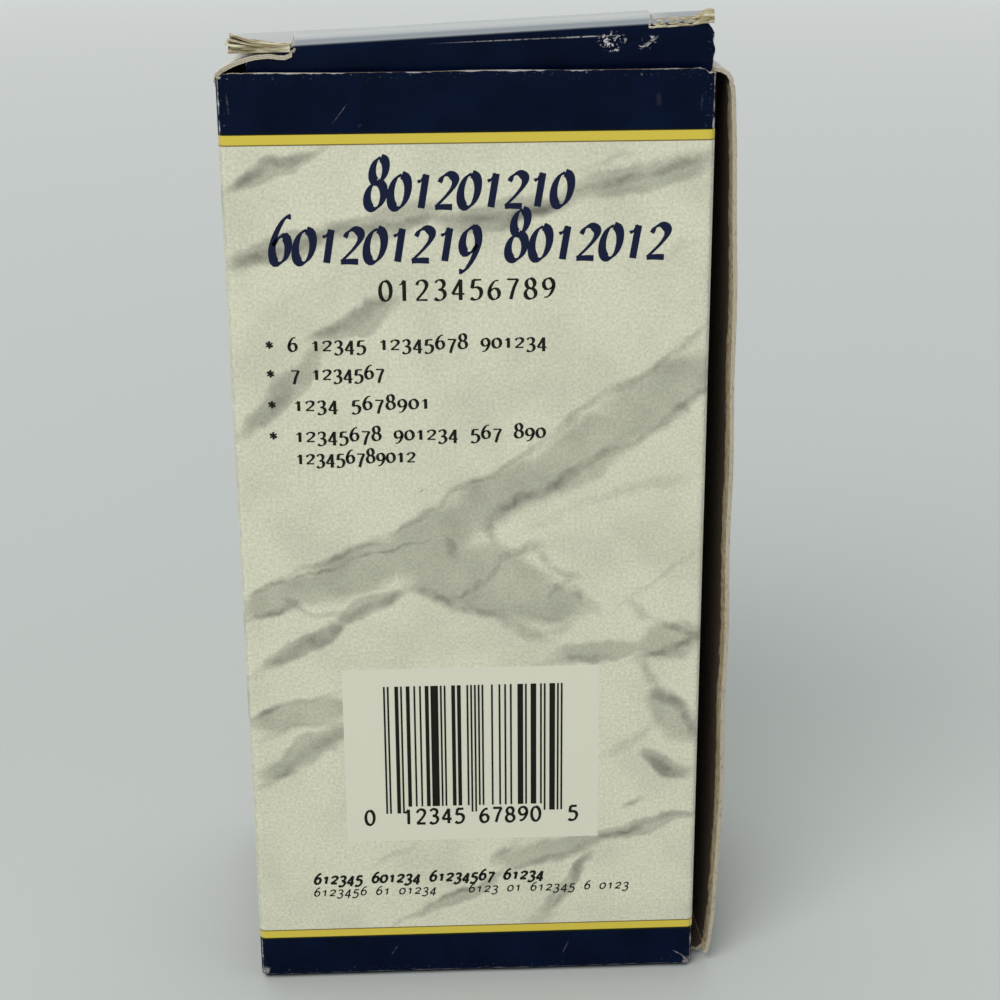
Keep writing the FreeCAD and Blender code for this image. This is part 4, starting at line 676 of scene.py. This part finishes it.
crumple = smooth_step(1 - np.hypot((x_grid - 24.0) / 5.5, (below[None, :] - 4.2) / 2.2), 0, 1)
ripples = 0.12 * np.sin(x_grid * 3.1 + below * 2.3) + 0.1 * np.sin(x_grid * 5.2 - below * 4.1)
dents = crumple * (0.35 + ripples)
grid = mesh_grid(x_grid, profile[None, :, 0] + dents, lid_height(x_grid, crease_y) + profile[None, :, 1])
blank = mesh_grid(-front_width / 2 - side_width - x_grid, 219.3 + length_down[None, :])
tuck = board("carton_top_tuck", grid, blank)
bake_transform(tuck)
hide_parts("top_tuck_flap")

# Split corners of the lid. The board has come apart in its plies: a fan that spreads to the left at the
# left corner, and a torn, curled lip along the right one. Cream fibres, quite matt.
split_plies, tree, shader = finish("split_board_plies", "#CBC5A5", Roughness=1.0)
fibres = node(tree, "TexNoise", in_mm(tree, (0.25, 1.0, 2.0)), Scale=1 / 1.1, Detail=5.0)
paler = node(tree, "MapRange", fibres, 0.35, 0.7, **eased)
tree.links.new(node(tree, "MixRGB", paler, "#8D7F5F", "#DAD4B8"), shader.inputs["Base Color"])
tree.links.new(node(tree, "Bump", Strength=0.8, Distance=0.0002, Height=fibres), shader.inputs["Normal"])

ply_thick = 0.34
fan_x = np.linspace(-27.6, -37.3, 18)
fan_share = (fan_x[0] - fan_x) / (fan_x[0] - fan_x[-1])
plies = []
for number in range(5):
    tip = 167.0 + 0.72 * number + 0.12 * np.sin(number * 2.1)
    root = 167.2 + 0.17 * number
    centre = root + (tip - root) * fan_share ** 2.0
    outer = -28.9 - 0.25 * np.sin(fan_x * 1.3 + number * 2) * fan_share - 0.12 * number * fan_share
    deep = np.linspace(0, 1, 5)
    y_grid = outer[:, None] + (-26.8 - outer)[:, None] * deep[None, :]
    sunk = 1.2 * np.exp(-((fan_x - slit_ends[0] + 1.0) / 5.0) ** 2)
    back_z = lid_height(fan_x, -26.8) - sunk - 0.4 + 0.14 * number
    z_grid = centre[:, None] + (back_z - centre)[:, None] * smooth_step(deep, 0.1, 1.0)[None, :]
    ply_x = fan_x + 0.45 * np.sin(number * 2.1) * fan_share ** 2
    plies.append(mesh_grid(ply_x[:, None], y_grid, z_grid)[::-1])
fan = closed_sheet(plies, ply_thick, [split_plies] * 3, "lid_corner_plies_left")
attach(fan, "lid")

lip_x = np.linspace(28.6, 38.9, 30)
plies = []
for number in range(3):
    wave = np.sin(lip_x * (2.1 + 0.6 * number) + number) + 0.6 * np.sin(lip_x * 5.3 + number * 2.0)
    curl = smooth_step(lip_x, 35.2, 38.2)
    outer = -29.05 - 0.12 * wave + 0.22 * number - 0.25 * curl
    deep = np.linspace(0, 1, 7)
    y_grid = outer[:, None] + (-26.6 - outer)[:, None] * deep[None, :]
    flat = lid_height(lip_x, crease_y)[:, None] - 1.5 + 0.28 * number + 0.05 * wave[:, None]
    lift = (curl * (0.3 + 0.5 * number))[:, None] * np.sin(np.pi * np.clip(deep * 1.3, 0, 1))[None, :]
    sag = (0.4 - 0.12 * number) * (1 - deep)[None, :] ** 2 * (1 - 0.7 * curl)[:, None]
    plies.append(mesh_grid(lip_x[:, None], y_grid, flat + lift - sag))
lip = closed_sheet(plies, ply_thick * 0.75, [split_plies] * 3, "lid_corner_plies_right")
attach(lip, "lid")

# Top dust flaps. The left one folds from the left wall, its raw nose standing up at the front corner.
# The right one folds over from the side panel with a wide, soft bend.
flap_z = 163.35
nose = through(((-39.15, 161.8), (-39.45, 163.0), (-38.7, 164.1), (-36.3, 165.3), (-33.5, 166.15),
                (-31.0, 166.4), (-28.8, 166.15), (-27.7, 166.4), (-27.1, 167.4)), 16)
flat = through(((-39.15, 161.8), (-39.15, 162.8), (-38.7, 163.25), (-36.0, flap_z), (-31.0, flap_z),
                (-27.0, flap_z), (-24.0, flap_z)), 16)
tail = np.stack((np.linspace(-23.5, -12, 6), np.full(6, flap_z)), 1)
share = np.concatenate((np.linspace(0, 0.8, 9), np.linspace(0.84, 1, 7)))
lifted = smooth_step(share, 0.5, 1.0)
bent = flat[None] + (nose - flat)[None] * lifted[:, None, None]
x_grid = np.concatenate((bent[..., 0], np.repeat(tail[None, :, 0], len(share), 0)), 1)
drop = (nose[-1, 1] - flap_z) * np.exp(-np.arange(1, len(tail) + 1) * 1.4)
z_grid = np.concatenate((bent[..., 1], flap_z + drop[None, :] * lifted[:, None]), 1)
front_y = np.concatenate((np.interp(flat[:, 0], (-39.5, -33.0, -24), (-28.9, -28.9, -29.0)),
                          np.full(len(tail), -26.3)))
back_y = np.concatenate((np.full(len(flat), 21.65), np.interp(tail[:, 0], (-20, -12), (21.65, 13.65))))
y_grid = back_y[None, :] + (front_y - back_y)[None, :] * share[:, None]
grid = mesh_grid(x_grid, y_grid, z_grid - crush(x_grid, y_grid) * smooth_step(y_grid, -20.0, 0.0))
blank = mesh_grid(-side_half - y_grid, 250 + (x_grid + 39.5))
pale_coat = finish("unprinted_clay_coat", "#C6C3B8", Roughness=0.6)[0]
left_dust = board("carton_dust_flap_left", grid, blank, skins=(pale_coat, grey_board, cut_board))
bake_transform(left_dust)
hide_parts("top_dust_flap_left")

bend = through(((0.0, 160.8), (-0.05, 161.9), (-0.75, 162.9), (-2.0, flap_z), (-4.0, flap_z + 0.1),
                (-8.0, flap_z)), 10)
reach = np.concatenate((bend[:, 0], np.linspace(-12, -27.5, 5)))
level_z = np.concatenate((bend[:, 1], np.full(5, flap_z)))
share = np.linspace(0, 1, 15)
front_y = np.interp(-reach, (0, 3, 27.5), (-28.2, -27.4, -25.4))
back_y = np.interp(-reach, (0, 19.5, 27.5), (21.65, 21.65, 13.65))
y_grid = front_y[None, :] + (back_y - front_y)[None, :] * share[:, None]
panel_x = panel_back_x + 1.9 * np.clip((wall_y - y_grid) / (wall_y - panel_front), 0, 1) ** 1.15
grid = mesh_grid(panel_x + reach[None, :], y_grid, level_z[None, :])
blank = mesh_grid(-front_width - side_width - side_half + y_grid, 250 - reach[None, :])
right_dust = board("carton_dust_flap_right", grid, blank, skins=(pale_coat, grey_board, cut_board))
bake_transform(right_dust)
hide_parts("top_dust_flap_right")

# Bottom flaps. The bottom lid folds from the front wall, its tuck flap slides up inside the back wall, and
# the two dust flaps lie on it.
under = through(((28.6, 0.35), (20, 0.35), (10, 0.35), (-10, 0.35), (-27.6, 0.35), (-28.9, 0.38),
                 (-29.55, 0.8), (-29.65, 1.3)), 26)
across = close_ends((lid_half - 0.2) * 2, 8.0) - (lid_half - 0.2)
grid = mesh_grid(across[:, None], under[None, :, 0], under[None, :, 1])
blank = mesh_grid(across[:, None] + front_half, -(under[None, :, 0] + 30))
low_lid = board("carton_bottom_lid", grid, blank)
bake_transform(low_lid)
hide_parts("bottom_lid")

inside = through(((27.4, 11.0), (27.9, 7.0), (28.45, 2.0), (28.6, 0.9), (28.3, 0.4), (27.6, 0.36)), 14)
half = np.interp(inside[:, 1], (0.3, 7.5, 11.0), (38.0, 38.0, 34.0))
share = np.linspace(-1, 1, 17)
grid = mesh_grid(half[None, :] * share[:, None], inside[None, :, 0], inside[None, :, 1])
blank = mesh_grid(half[None, :] * share[:, None] + front_half, -60 - inside[None, :, 1])
low_tuck = board("carton_bottom_tuck", grid, blank)
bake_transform(low_tuck)
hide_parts("bottom_tuck_flap")

flat_z = 1.35
for name, body, carrier, side_sign in (("left", "lower_dust_left", "carton", -1),
                                       ("right", "lower_dust_right", "side_panel", 1)):
    outer_x = -39.15 if side_sign < 0 else 40.15
    reach = through(((27.0, flat_z), (18, flat_z), (9, flat_z), (1.6, flat_z), (0.4, 1.5), (0, 2.2),
                     (0, 2.8)), 14)
    share = np.linspace(0, 1, 11)
    front_y = np.interp(reach[:, 0], (0, 27), (-26.65, -13.15))
    y_grid = 26.4 + (front_y - 26.4)[None, :] * share[:, None]
    if side_sign > 0:
        y_grid = y_grid[::-1]
    shift = 1.95 * (26.75 - y_grid) / 53.4 if side_sign > 0 else 0
    grid = mesh_grid(outer_x - side_sign * reach[None, :, 0] + shift, y_grid, reach[None, :, 1])
    blank = mesh_grid(y_grid, -100 - reach[None, :, 0])
    flap = board("carton_bottom_dust_flap_" + name, grid, blank)
    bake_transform(flap)
    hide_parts("bottom_dust_flap_" + name)

# Print on the front wall. Plain figures stand where the carton carries its lettering: large slanted navy
# ones drawn with a broad nib, small black rows with star marks, and two small rows at the foot. They are
# ink films 0.03 mm thick on the board.
title_ink = finish("navy_title_ink", "#0F1734", Roughness=0.4, IOR=1.25)[0]
black_ink = finish("black_print_ink", "#15140F", Roughness=0.45, IOR=1.25)[0]
film_thick = 0.03
front_face = -side_half
circle = [(np.sin(a), np.cos(a)) for a in np.linspace(0, 2 * np.pi, 13)]
six = ((0.5, 0.93), (0.32, 0.9), (0.13, 0.64), (0.05, 0.32), (0.15, 0.06), (0.32, 0.0), (0.5, 0.12),
       (0.53, 0.36), (0.4, 0.54), (0.22, 0.52), (0.07, 0.36))
digit_strokes = {
    "0": [[(0.3 + 0.26 * x, 0.5 + 0.5 * y) for x, y in circle]],
    "1": [[(0.1, 0.78), (0.22, 0.84), (0.33, 1.0)], [(0.33, 1.0), (0.33, 0.5), (0.33, 0.0)]],
    "2": [[(0.06, 0.76), (0.14, 0.93), (0.31, 1.0), (0.5, 0.9), (0.53, 0.7), (0.38, 0.42), (0.05, 0.03)],
          [(0.04, 0.02), (0.3, 0.03), (0.57, 0.02)]],
    "3": [[(0.08, 0.86), (0.22, 0.99), (0.42, 0.96), (0.5, 0.78), (0.4, 0.59), (0.22, 0.53)],
          [(0.24, 0.53), (0.46, 0.47), (0.54, 0.26), (0.42, 0.05), (0.22, 0.0), (0.05, 0.1)]],
    "4": [[(0.42, 1.0), (0.22, 0.64), (0.03, 0.3)], [(0.03, 0.3), (0.3, 0.3), (0.6, 0.3)],
          [(0.42, 1.0), (0.42, 0.5), (0.42, 0.0)]],
    "5": [[(0.54, 0.98), (0.34, 0.97), (0.17, 0.98)], [(0.17, 0.98), (0.14, 0.77), (0.11, 0.56)],
          [(0.11, 0.56), (0.3, 0.62), (0.5, 0.52), (0.54, 0.3), (0.42, 0.06), (0.2, 0.0), (0.04, 0.09)]],
    "6": [six],
    "7": [[(0.05, 0.98), (0.3, 0.97), (0.57, 0.98)], [(0.56, 0.98), (0.36, 0.52), (0.22, 0.0)]],
    "8": [[(0.3 + 0.2 * x, 0.76 + 0.24 * y) for x, y in circle],
          [(0.3 + 0.25 * x, 0.26 + 0.26 * y) for x, y in circle]],
    "9": [[(0.6 - x, 1.0 - y) for x, y in six]],
    "*": [[(0.3 + 0.3 * x, 0.5 + 0.3 * y), (0.3, 0.5), (0.3 - 0.3 * x, 0.5 - 0.3 * y)]
          for x, y in circle[0:6:2]],
}
text_levels = {"6": (0.0, 1.0), "8": (0.0, 1.0), "*": (0.0, 0.85),
               **dict.fromkeys("012", (0.0, 0.66)), **dict.fromkeys("34579", (-0.28, 0.66))}


def pen_sides(line, width, thin=None, nib=0.0):
    """Both sides of a stroke, half its width square to its run. A flat nib held at an angle in degrees makes
    that half hypot(width / 2 * sin(run's direction - nib), thin / 2)."""
    way = np.gradient(line, axis=0)
    way /= np.linalg.norm(way, axis=1, keepdims=True)
    half = np.full(len(line), width / 2)
    if thin is not None:
        half = np.hypot(half * np.sin(np.arctan2(way[:, 1], way[:, 0]) - np.radians(nib)), thin / 2)
    side = np.stack((way[:, 1], -way[:, 0]), 1) * half[:, None]
    return np.stack((line + side, line - side), 1)


def pen_row(text, low, high, foot, height, width, thin, nib=35.0, slant=0.0, level=front_face, levels=None,
            steps=17):
    """Strokes of a row of figures, each a sheet drawn by a nib. The row fills x from low to high. Levels give
    each figure's foot and top, as shares of the height; without them all stand from 0 to 1."""
    advance = (high - low - slant * height) / (len(text) - 0.2)
    squeeze = min(height, advance / 0.72)
    sheets = []
    for number, figure in enumerate(text):
        bottom, top = (levels or {}).get(figure, (0.0, 1.0))
        for order, stroke in enumerate(digit_strokes.get(figure, ())):
            line = through(stroke, steps)
            line = np.stack((line[:, 0] * squeeze, (bottom + line[:, 1] * (top - bottom)) * height), 1)
            line[:, 0] += low + number * advance + slant * line[:, 1]
            both = pen_sides(line, width, thin, nib)
            depth = np.full((steps, 2, 1), level - film_thick / 2 - 0.004 * order)
            sheets.append(np.concatenate((both[..., :1], depth, both[..., 1:] + foot), 2))
    return sheets


title_height = 8.2
title = []
for text, low, high, foot in (("801201210", -16.8, 17.4, 142.3), ("601201219 8012012", -32.4, 33.0, 133.6)):
    title += pen_row(text, low, high, foot, title_height, 1.5, 0.35, slant=0.17, levels=text_levels,
                     steps=37)
printed_title = closed_sheet(title, film_thick, [title_ink] * 3, "title_figures")
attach(printed_title, "carton")

small_height = 2.5
rows = pen_row("0123456789", -14.7, 14.2, 127.1, 3.4, 0.62, 0.2, nib=20.0)
for text, low, high, foot in (("6 12345 12345678 901234", -29.8, 12.5, 118.9),
                              ("7 1234567", -29.6, -14.3, 114.0), ("1234 5678901", -29.3, -6.8, 108.7),
                              ("12345678 901234 567 890", -29.3, 12.3, 103.3),
                              ("123456789012", -29.3, -9.5, 99.4)):
    rows += pen_row(text, low, high, foot, small_height, 0.5, 0.18, nib=15.0, levels=text_levels)
for foot in (118.9, 114.0, 108.7, 103.3):
    rows += pen_row("* ", -33.5, -30.6, foot + 0.1, small_height * 0.85, 0.34, 0.24)
rows += pen_row("612345 601234 61234567 61234", -29.3, 12.4, 19.5, 2.2, 0.42, 0.36, slant=0.2,
                levels=text_levels)
rows += pen_row("6123456 61 01234    6123 01 612345 6 0123", -29.4, 27.9, 17.0, 1.8, 0.22, 0.2, slant=0.2,
                levels=text_levels)
small_print = closed_sheet(rows, film_thick, [black_ink] * 3, "small_figures")
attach(small_print, "carton")

# Bar code patch. A cream label area with a sample bar code: the figures 0 12345 67890 5 in wide-and-narrow
# bars by the UPC-A rule, one module 0.33 mm, with their plain figures under them.
patch_low, patch_high = (-22.95, 27.9), (21.86, 61.5)
module = 0.33
code_left = -15.9
bar_foot, bar_top, guard_foot = 34.7, 58.2, 33.4
code_figures = "012345678905"
left_patterns = ("0001101", "0011001", "0010011", "0111101", "0100011", "0110001", "0101111", "0111011",
                 "0110111", "0001011")


def flat_rectangle(low, high, level):
    """A rectangle on the front wall, from its low left corner to its high right one."""
    x, z = np.linspace(low[0], high[0], 2), np.linspace(low[1], high[1], 2)
    return mesh_grid(x[:, None], level, z[None, :])


cream_patch = finish("cream_print_ground", "#D9D7C4", Roughness=0.5, IOR=1.25)[0]
patch = closed_sheet([flat_rectangle(patch_low, patch_high, front_face - 0.01)], 0.02, [cream_patch] * 3,
                     "code_patch")
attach(patch, "carton")
swap_bits = str.maketrans("01", "10")
middle = "".join(left_patterns[int(figure)] for figure in code_figures[:6])
right = "".join(left_patterns[int(figure)].translate(swap_bits) for figure in code_figures[6:])
bits = "101" + middle + "01010" + right + "101"
tall = set(range(10)) | set(range(45, 50)) | set(range(85, 95))
bars = [flat_rectangle((code_left + at * module, guard_foot if at in tall else bar_foot),
                       (code_left + (at + 1) * module, bar_top), front_face - 0.035)
        for at, bit in enumerate(bits) if bit == "1"]
for text, low, high in (("0", -19.7, -18.0), ("12345", -12.9, -1.9), ("67890", 0.7, 11.7), ("5", 16.5, 18.3)):
    bars += pen_row(text, low, high, 31.2, 2.9, 0.4, 0.4, level=front_face - 0.02)
code = closed_sheet(bars, film_thick, [black_ink] * 3, "bar_code")
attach(code, "carton")


# Metals of the machine. Base: each metal's own colour, with the default IOR. Plated and polished parts
# carry long fine brush lines and faint clouds of handling; turned parts carry finer lines; steel is greyer.
def dress(material, *nodes):
    """Gives CAD nodes a material in all their slots."""
    for name in nodes:
        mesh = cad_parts[name].data
        mesh.materials.clear()
        mesh.materials.append(material)


def metal(name, colour, stained, rough, stretch, grain=0.5, relief=0.05):
    """Metal with brush lines: noise stretched by the factors along x, y and z, its grain in millimetres."""
    made, tree, shader = finish(name, colour, Metallic=1.0, Roughness=rough)
    lines = node(tree, "TexNoise", in_mm(tree, stretch), Scale=1 / grain, Detail=3.0)
    clouds = mottle(tree, in_mm(tree), 9.0, 0.4, 0.75, Detail=4.0)
    tree.links.new(node(tree, "MixRGB", clouds, colour, stained), shader.inputs["Base Color"])
    brushed = node(tree, "MapRange", lines, 0.2, 0.8, rough * 0.75, rough * 1.3, **eased)
    smudged = node(tree, "Math", clouds, 0.12, operation="MULTIPLY")
    tree.links.new(node(tree, "Math", brushed, smudged, operation="ADD"), shader.inputs["Roughness"])
    brush_lines = node(tree, "Bump", Strength=relief, Distance=0.0001, Height=lines)
    tree.links.new(brush_lines, shader.inputs["Normal"])
    return made


dress(metal("brushed_nickel_plate", "#CFCBC2", "#A8A299", 0.2, (1.0, 1.0, 0.06)), "side_frame_left",
      "side_frame_right", "back_cover", "front_cover", "top_bridge", "spring_neck", "carriage_yoke",
      "ink_arms", "ink_pad_holder")
dress(metal("bright_nickel_plate", "#D8D5CD", "#B9B4AA", 0.12, (1.0, 1.0, 1.0), 1.2, 0.02),
      "handle_ferrule", "selector_lever", "lock_button", "handle_screw")
dress(metal("satin_nickel_base", "#BDB9B0", "#8F8A81", 0.28, (0.08, 1.0, 1.0)), "base_foot")
dress(metal("turned_steel", "#B2B1AF", "#8B8985", 0.24, (1.0, 1.0, 0.1), 0.4), "plunger_shaft",
      "wheel_axle", "axle_nuts", "tie_rod", "pawl_pin", "ink_arm_pins", "feed_pawl", "selector_screw")
dress(metal("blued_screw_steel", "#2C3040", "#4A4238", 0.34, (1.0, 1.0, 1.0), 0.8), "frame_screws",
      "neck_screws")
dress(metal("turned_bushing_brass", "#C8A057", "#8C6C3A", 0.24, (1.0, 1.0, 0.1)), "guide_bushing")
dress(metal("blue_spring_steel", "#777B82", "#56585E", 0.27, (1.0, 1.0, 1.0), 0.6), "wheel_detent_comb")

# Number wheels. Engraved brass, dulled by hand, with black ink left in the hollows and on the type faces.
# Ten raised figures stand on each wheel's pads. They are not mirrored: they read the right way round from
# outside the wheel.
axle_x, axle_z = 6.0, 31.0
wheel_pitch = 3.9
wheel_count = 6
type_radius = 10.552
type_rise = 0.12
brass, tree, shader = finish("engraved_wheel_brass", "#B98F45", Metallic=1.0, Roughness=0.3)
place = in_mm(tree)
from_axle = node(tree, "VectorMath", place, (axle_x, 0.0, axle_z), operation="SUBTRACT")
from_axle = node(tree, "VectorMath", from_axle, (1.0, 0.0, 1.0), operation="MULTIPLY")
radius = node(tree, "VectorMath", from_axle, out=1, operation="LENGTH")
on_type = node(tree, "MapRange", radius, 10.2, 10.6, 0.0, 0.75, **eased)
in_hollows = node(tree, "MapRange", radius, 9.4, 10.0, 0.5, 0.0, **eased)
inked = node(tree, "Math", on_type, in_hollows, operation="MAXIMUM")
inked = node(tree, "Math", inked, mottle(tree, place, 1.5, 0.35, 0.6, Detail=4.0), operation="MULTIPLY")
brass_colour = node(tree, "MixRGB", mottle(tree, place, 2.5, 0.4, 0.75, Detail=4.0), "#BE954A", "#7F5E2C")
tree.links.new(node(tree, "MixRGB", inked, brass_colour, "#1A1612"), shader.inputs["Base Color"])
rough = node(tree, "Math", inked, 0.35, operation="MULTIPLY")
tree.links.new(node(tree, "Math", rough, 0.28, operation="ADD"), shader.inputs["Roughness"])
dress(brass, *(f"number_wheel_{number + 1}" for number in range(wheel_count)))
type_strokes = {key: strokes for key, strokes in digit_strokes.items() if key != "*"}
for number in range(wheel_count):
    middle = wheel_pitch * (number - (wheel_count - 1) / 2) - 0.35
    sheets = []
    for figure, (key, strokes) in enumerate(sorted(type_strokes.items())):
        angle = np.radians(270 + 36 * figure)
        out_way = np.array((np.cos(angle), 0, np.sin(angle)))
        up_way = np.array((-np.sin(angle), 0, np.cos(angle)))
        for stroke in strokes:
            line = (through(stroke, 11) - (0.3, 0.5)) * (3.2, 3.7)
            both = pen_sides(line, 0.52)
            sheets.append(np.array((axle_x, middle, axle_z)) + out_way * (type_radius + type_rise / 2)
                          + both[..., :1] * np.array((0, 1.0, 0)) + both[..., 1:] * up_way)
    type_faces = closed_sheet(sheets, type_rise + 0.02, [brass] * 3, f"wheel_figures_{number + 1}")
    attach(type_faces, f"wheel_{number + 1}")

# Return spring. Round steel wire, wound in ten turns between the neck's flange and the ferrule. Each press of
# the handle squeezes the real spring; this coil rides on the machine frame and keeps its length.
spring_radius, wire_radius, spring_turns = 6.6, 0.8, 10.0
spring_low, spring_high = (corner[2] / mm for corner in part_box("return_spring"))
around = np.linspace(0, 2 * np.pi * spring_turns, 301)
climb = np.interp(around, (0, around[-1]), (spring_low + wire_radius, spring_high - wire_radius))
ring = np.linspace(0, 2 * np.pi, 9)[:-1]
out_from = spring_radius + wire_radius * np.cos(ring)
wire = mesh_grid(axle_x + out_from[None, :] * np.cos(around)[:, None],
                 out_from[None, :] * np.sin(around)[:, None],
                 climb[:, None] + wire_radius * np.sin(ring)[None, :])
rings, points = wire.shape[:2]
ids = np.arange(rings * points).reshape(rings, points)
quads = np.stack((ids[:-1], ids[1:], np.roll(ids, -1, 1)[1:], np.roll(ids, -1, 1)[:-1]), -1).reshape(-1, 4)
coil_mesh = bpy.data.meshes.new("return_coil")
coil_mesh.from_pydata(wire.reshape(-1, 3) * mm, [],
                      quads[:, ::-1].tolist() + [ids[0].tolist(), ids[-1, ::-1].tolist()])
coil_mesh.materials.append(metal("oiled_spring_steel", "#8A8D92", "#5E6065", 0.22, (1.0, 1.0, 1.0), 0.6))
coil = bpy.data.objects.new("return_coil", coil_mesh)
bpy.context.collection.objects.link(coil)
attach(coil, "machine_frame")
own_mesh(coil)
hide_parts("return_spring")

# Handle knob. Black phenolic moulding, polished, with faint wear where the palm rests.
phenolic, tree, shader = finish("black_phenolic", "#0B0A0B", Roughness=0.16, Coat_Weight=0.4,
                                Coat_Roughness=0.08)
place = in_mm(tree)
tree.links.new(mottle(tree, place, 7.0, 0.35, 0.75, 0.12, 0.34, Detail=5.0), shader.inputs["Roughness"])
dress(phenolic, "handle_knob")

# Selector index plate. Black enamel on brass, with the figures 1 to 7 round the lever in cream.
dress(finish("black_index_enamel", "#101215", Roughness=0.22, Coat_Weight=0.5)[0], "selector_index_plate")
cream_ink = finish("cream_enamel_figures", "#E6E0CC", Roughness=0.35)[0]
plate_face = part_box("selector_index_plate")[1][0] / mm
plate_z, figure_circle, figure_size = 60.0, 8.6, 2.3
sheets = []
for number in range(7):
    angle = np.radians(180 - 30 * number)
    middle = figure_circle * np.array((np.cos(angle), np.sin(angle)))
    for stroke in digit_strokes[str(number + 1)]:
        both = pen_sides((through(stroke, 11) - (0.3, 0.5)) * figure_size + middle, 0.34)
        sheets.append(mesh_grid(plate_face + 0.01, both[..., 0], plate_z + both[..., 1]))
plate_figures = closed_sheet(sheets, 0.04, [cream_ink] * 3, "index_plate_figures")
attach(plate_figures, "machine_frame")

# Ink pad. Dense wool felt soaked nearly black.
felt, tree, shader = finish("inked_wool_felt", "#17141C", Roughness=0.85, Sheen_Weight=0.25)
wool = node(tree, "TexNoise", in_mm(tree), Scale=1 / 0.5, Detail=5.0)
tree.links.new(node(tree, "Bump", Strength=0.9, Distance=0.0003, Height=wool), shader.inputs["Normal"])
dress(felt, "ink_pad")

# Ink bottle. Milky polyethylene, through which the ink shows dark; a black cap and nozzle with fine
# moulding grain; a plain navy and yellow label wrapped round it.
milky = finish("milky_polyethylene", "#DDE0DA", Roughness=0.38, Transmission_Weight=0.35, IOR=1.5)[0]
dress(milky, "ink_bottle")
dress(finish("black_stamp_ink", "#0B0A10", Roughness=0.05, Coat_Weight=1.0)[0], "ink_fill")
moulded, tree, shader = finish("moulded_black_cap", "#15161A", Roughness=0.4, IOR=1.5)
skin = node(tree, "TexNoise", in_mm(tree), Scale=1 / 0.4, Detail=3.0)
tree.links.new(node(tree, "Bump", Strength=0.25, Distance=0.0001, Height=skin), shader.inputs["Normal"])
dress(moulded, "ink_bottle_cap")
bottle_x, bottle_y, bottle_radius = -25.8, -14.0, 11.0
label_low, label_high = 10.0, 34.0
turn_angle = np.radians(np.linspace(-165, 165, 61))
label_levels = np.array((label_low, 13.0, 13.01, 14.0, 14.01, 30.0, 30.01, 31.0, 31.01, label_high))
label_grid = mesh_grid(bottle_x + (bottle_radius + 0.05) * np.cos(turn_angle)[:, None],
                       bottle_y + (bottle_radius + 0.05) * np.sin(turn_angle)[:, None],
                       label_levels[None, :])
label_paper, tree, shader = finish("bottle_label_paper", "#D8D5C6", Roughness=0.5)
height = node(tree, "SeparateXYZ", in_mm(tree), out=2)
printed = "#D8D5C6"
for low, high, tint in ((label_low - 1.0, 13.0, navy_ink), (31.0, label_high + 1.0, navy_ink),
                        (13.0, 14.0, yellow_ink), (30.0, 31.0, yellow_ink)):
    above = node(tree, "MapRange", height, low - 0.05, low + 0.05, **eased)
    below = node(tree, "MapRange", height, high - 0.05, high + 0.05, 1.0, 0.0, **eased)
    printed = node(tree, "MixRGB", node(tree, "Math", above, below, operation="MINIMUM"), printed, tint)
tree.links.new(printed, shader.inputs["Base Color"])
bottle_label = closed_sheet([label_grid], 0.08, [label_paper] * 3, "ink_bottle_label")
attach(bottle_label, "bottle")

# Stylus. Turned beech, varnished, with a steel tip.
beech, tree, shader = finish("varnished_beech", "#B98A57", Roughness=0.35, Coat_Weight=0.3,
                             Coat_Roughness=0.15)
place = in_mm(tree, (1.0, 1.0, 0.06))
grain = mottle(tree, place, 0.6, 0.3, 0.7, Detail=4.0)
pores = mottle(tree, place, 0.25, 0.62, 0.7, 0.0, 0.6)
wood = node(tree, "MixRGB", grain, "#A87646", "#CBA070")
tree.links.new(node(tree, "MixRGB", pores, wood, "#6E4627"), shader.inputs["Base Color"])
dress(beech, "stylus_handle")
dress(metal("ground_tool_steel", "#A9ABAE", "#7D7B78", 0.2, (1.0, 1.0, 0.1), 0.3), "stylus_tip")

# Inner partition. Plain grey board with the same pulp flecks as the carton's inside, a little paler.
partition, tree, shader = finish("grey_partition_board", "#9B8E7C", Roughness=0.92)
pulp(tree, shader, in_mm(tree), "#877967", "#A89B88", "#5A4C3F")
dress(partition, "inner_partition")

# Instruction leaflet. Thin uncoated paper, printed in rows of small grey figures too fine to read, with a
# margin all round. The rows stand 2.4 mm apart.
paper, tree, shader = finish("printed_uncoated_paper", "#DAD7CB", Roughness=0.85)
place = in_mm(tree)
apart = node(tree, "SeparateXYZ", place).node
row = node(tree, "Math", node(tree, "Math", apart.outputs[2], 2.4, operation="DIVIDE"), operation="FRACT")
in_row = node(tree, "Math", node(tree, "MapRange", row, 0.25, 0.32, **eased),
              node(tree, "MapRange", row, 0.68, 0.75, 1.0, 0.0, **eased), operation="MINIMUM")
long_words = node(tree, "VectorMath", place, (1.0, 1.0, 0.4), operation="MULTIPLY")
words = mottle(tree, long_words, 0.7, 0.42, 0.5)
from_middle = node(tree, "Math", apart.outputs[1], operation="ABSOLUTE")
margin = node(tree, "MapRange", from_middle, 20.0, 20.4, 1.0, 0.0, **eased)
page = node(tree, "Math", node(tree, "MapRange", apart.outputs[2], 9.0, 9.4, **eased),
            node(tree, "MapRange", apart.outputs[2], 118.0, 118.4, 1.0, 0.0, **eased), operation="MINIMUM")
margin = node(tree, "Math", margin, page, operation="MINIMUM")
printed = node(tree, "Math", in_row, words, operation="MULTIPLY")
printed = node(tree, "Math", printed, margin, operation="MULTIPLY")
tree.links.new(node(tree, "MixRGB", printed, "#DAD7CB", "#3C3B3A"), shader.inputs["Base Color"])
dress(paper, "instruction_leaflet")
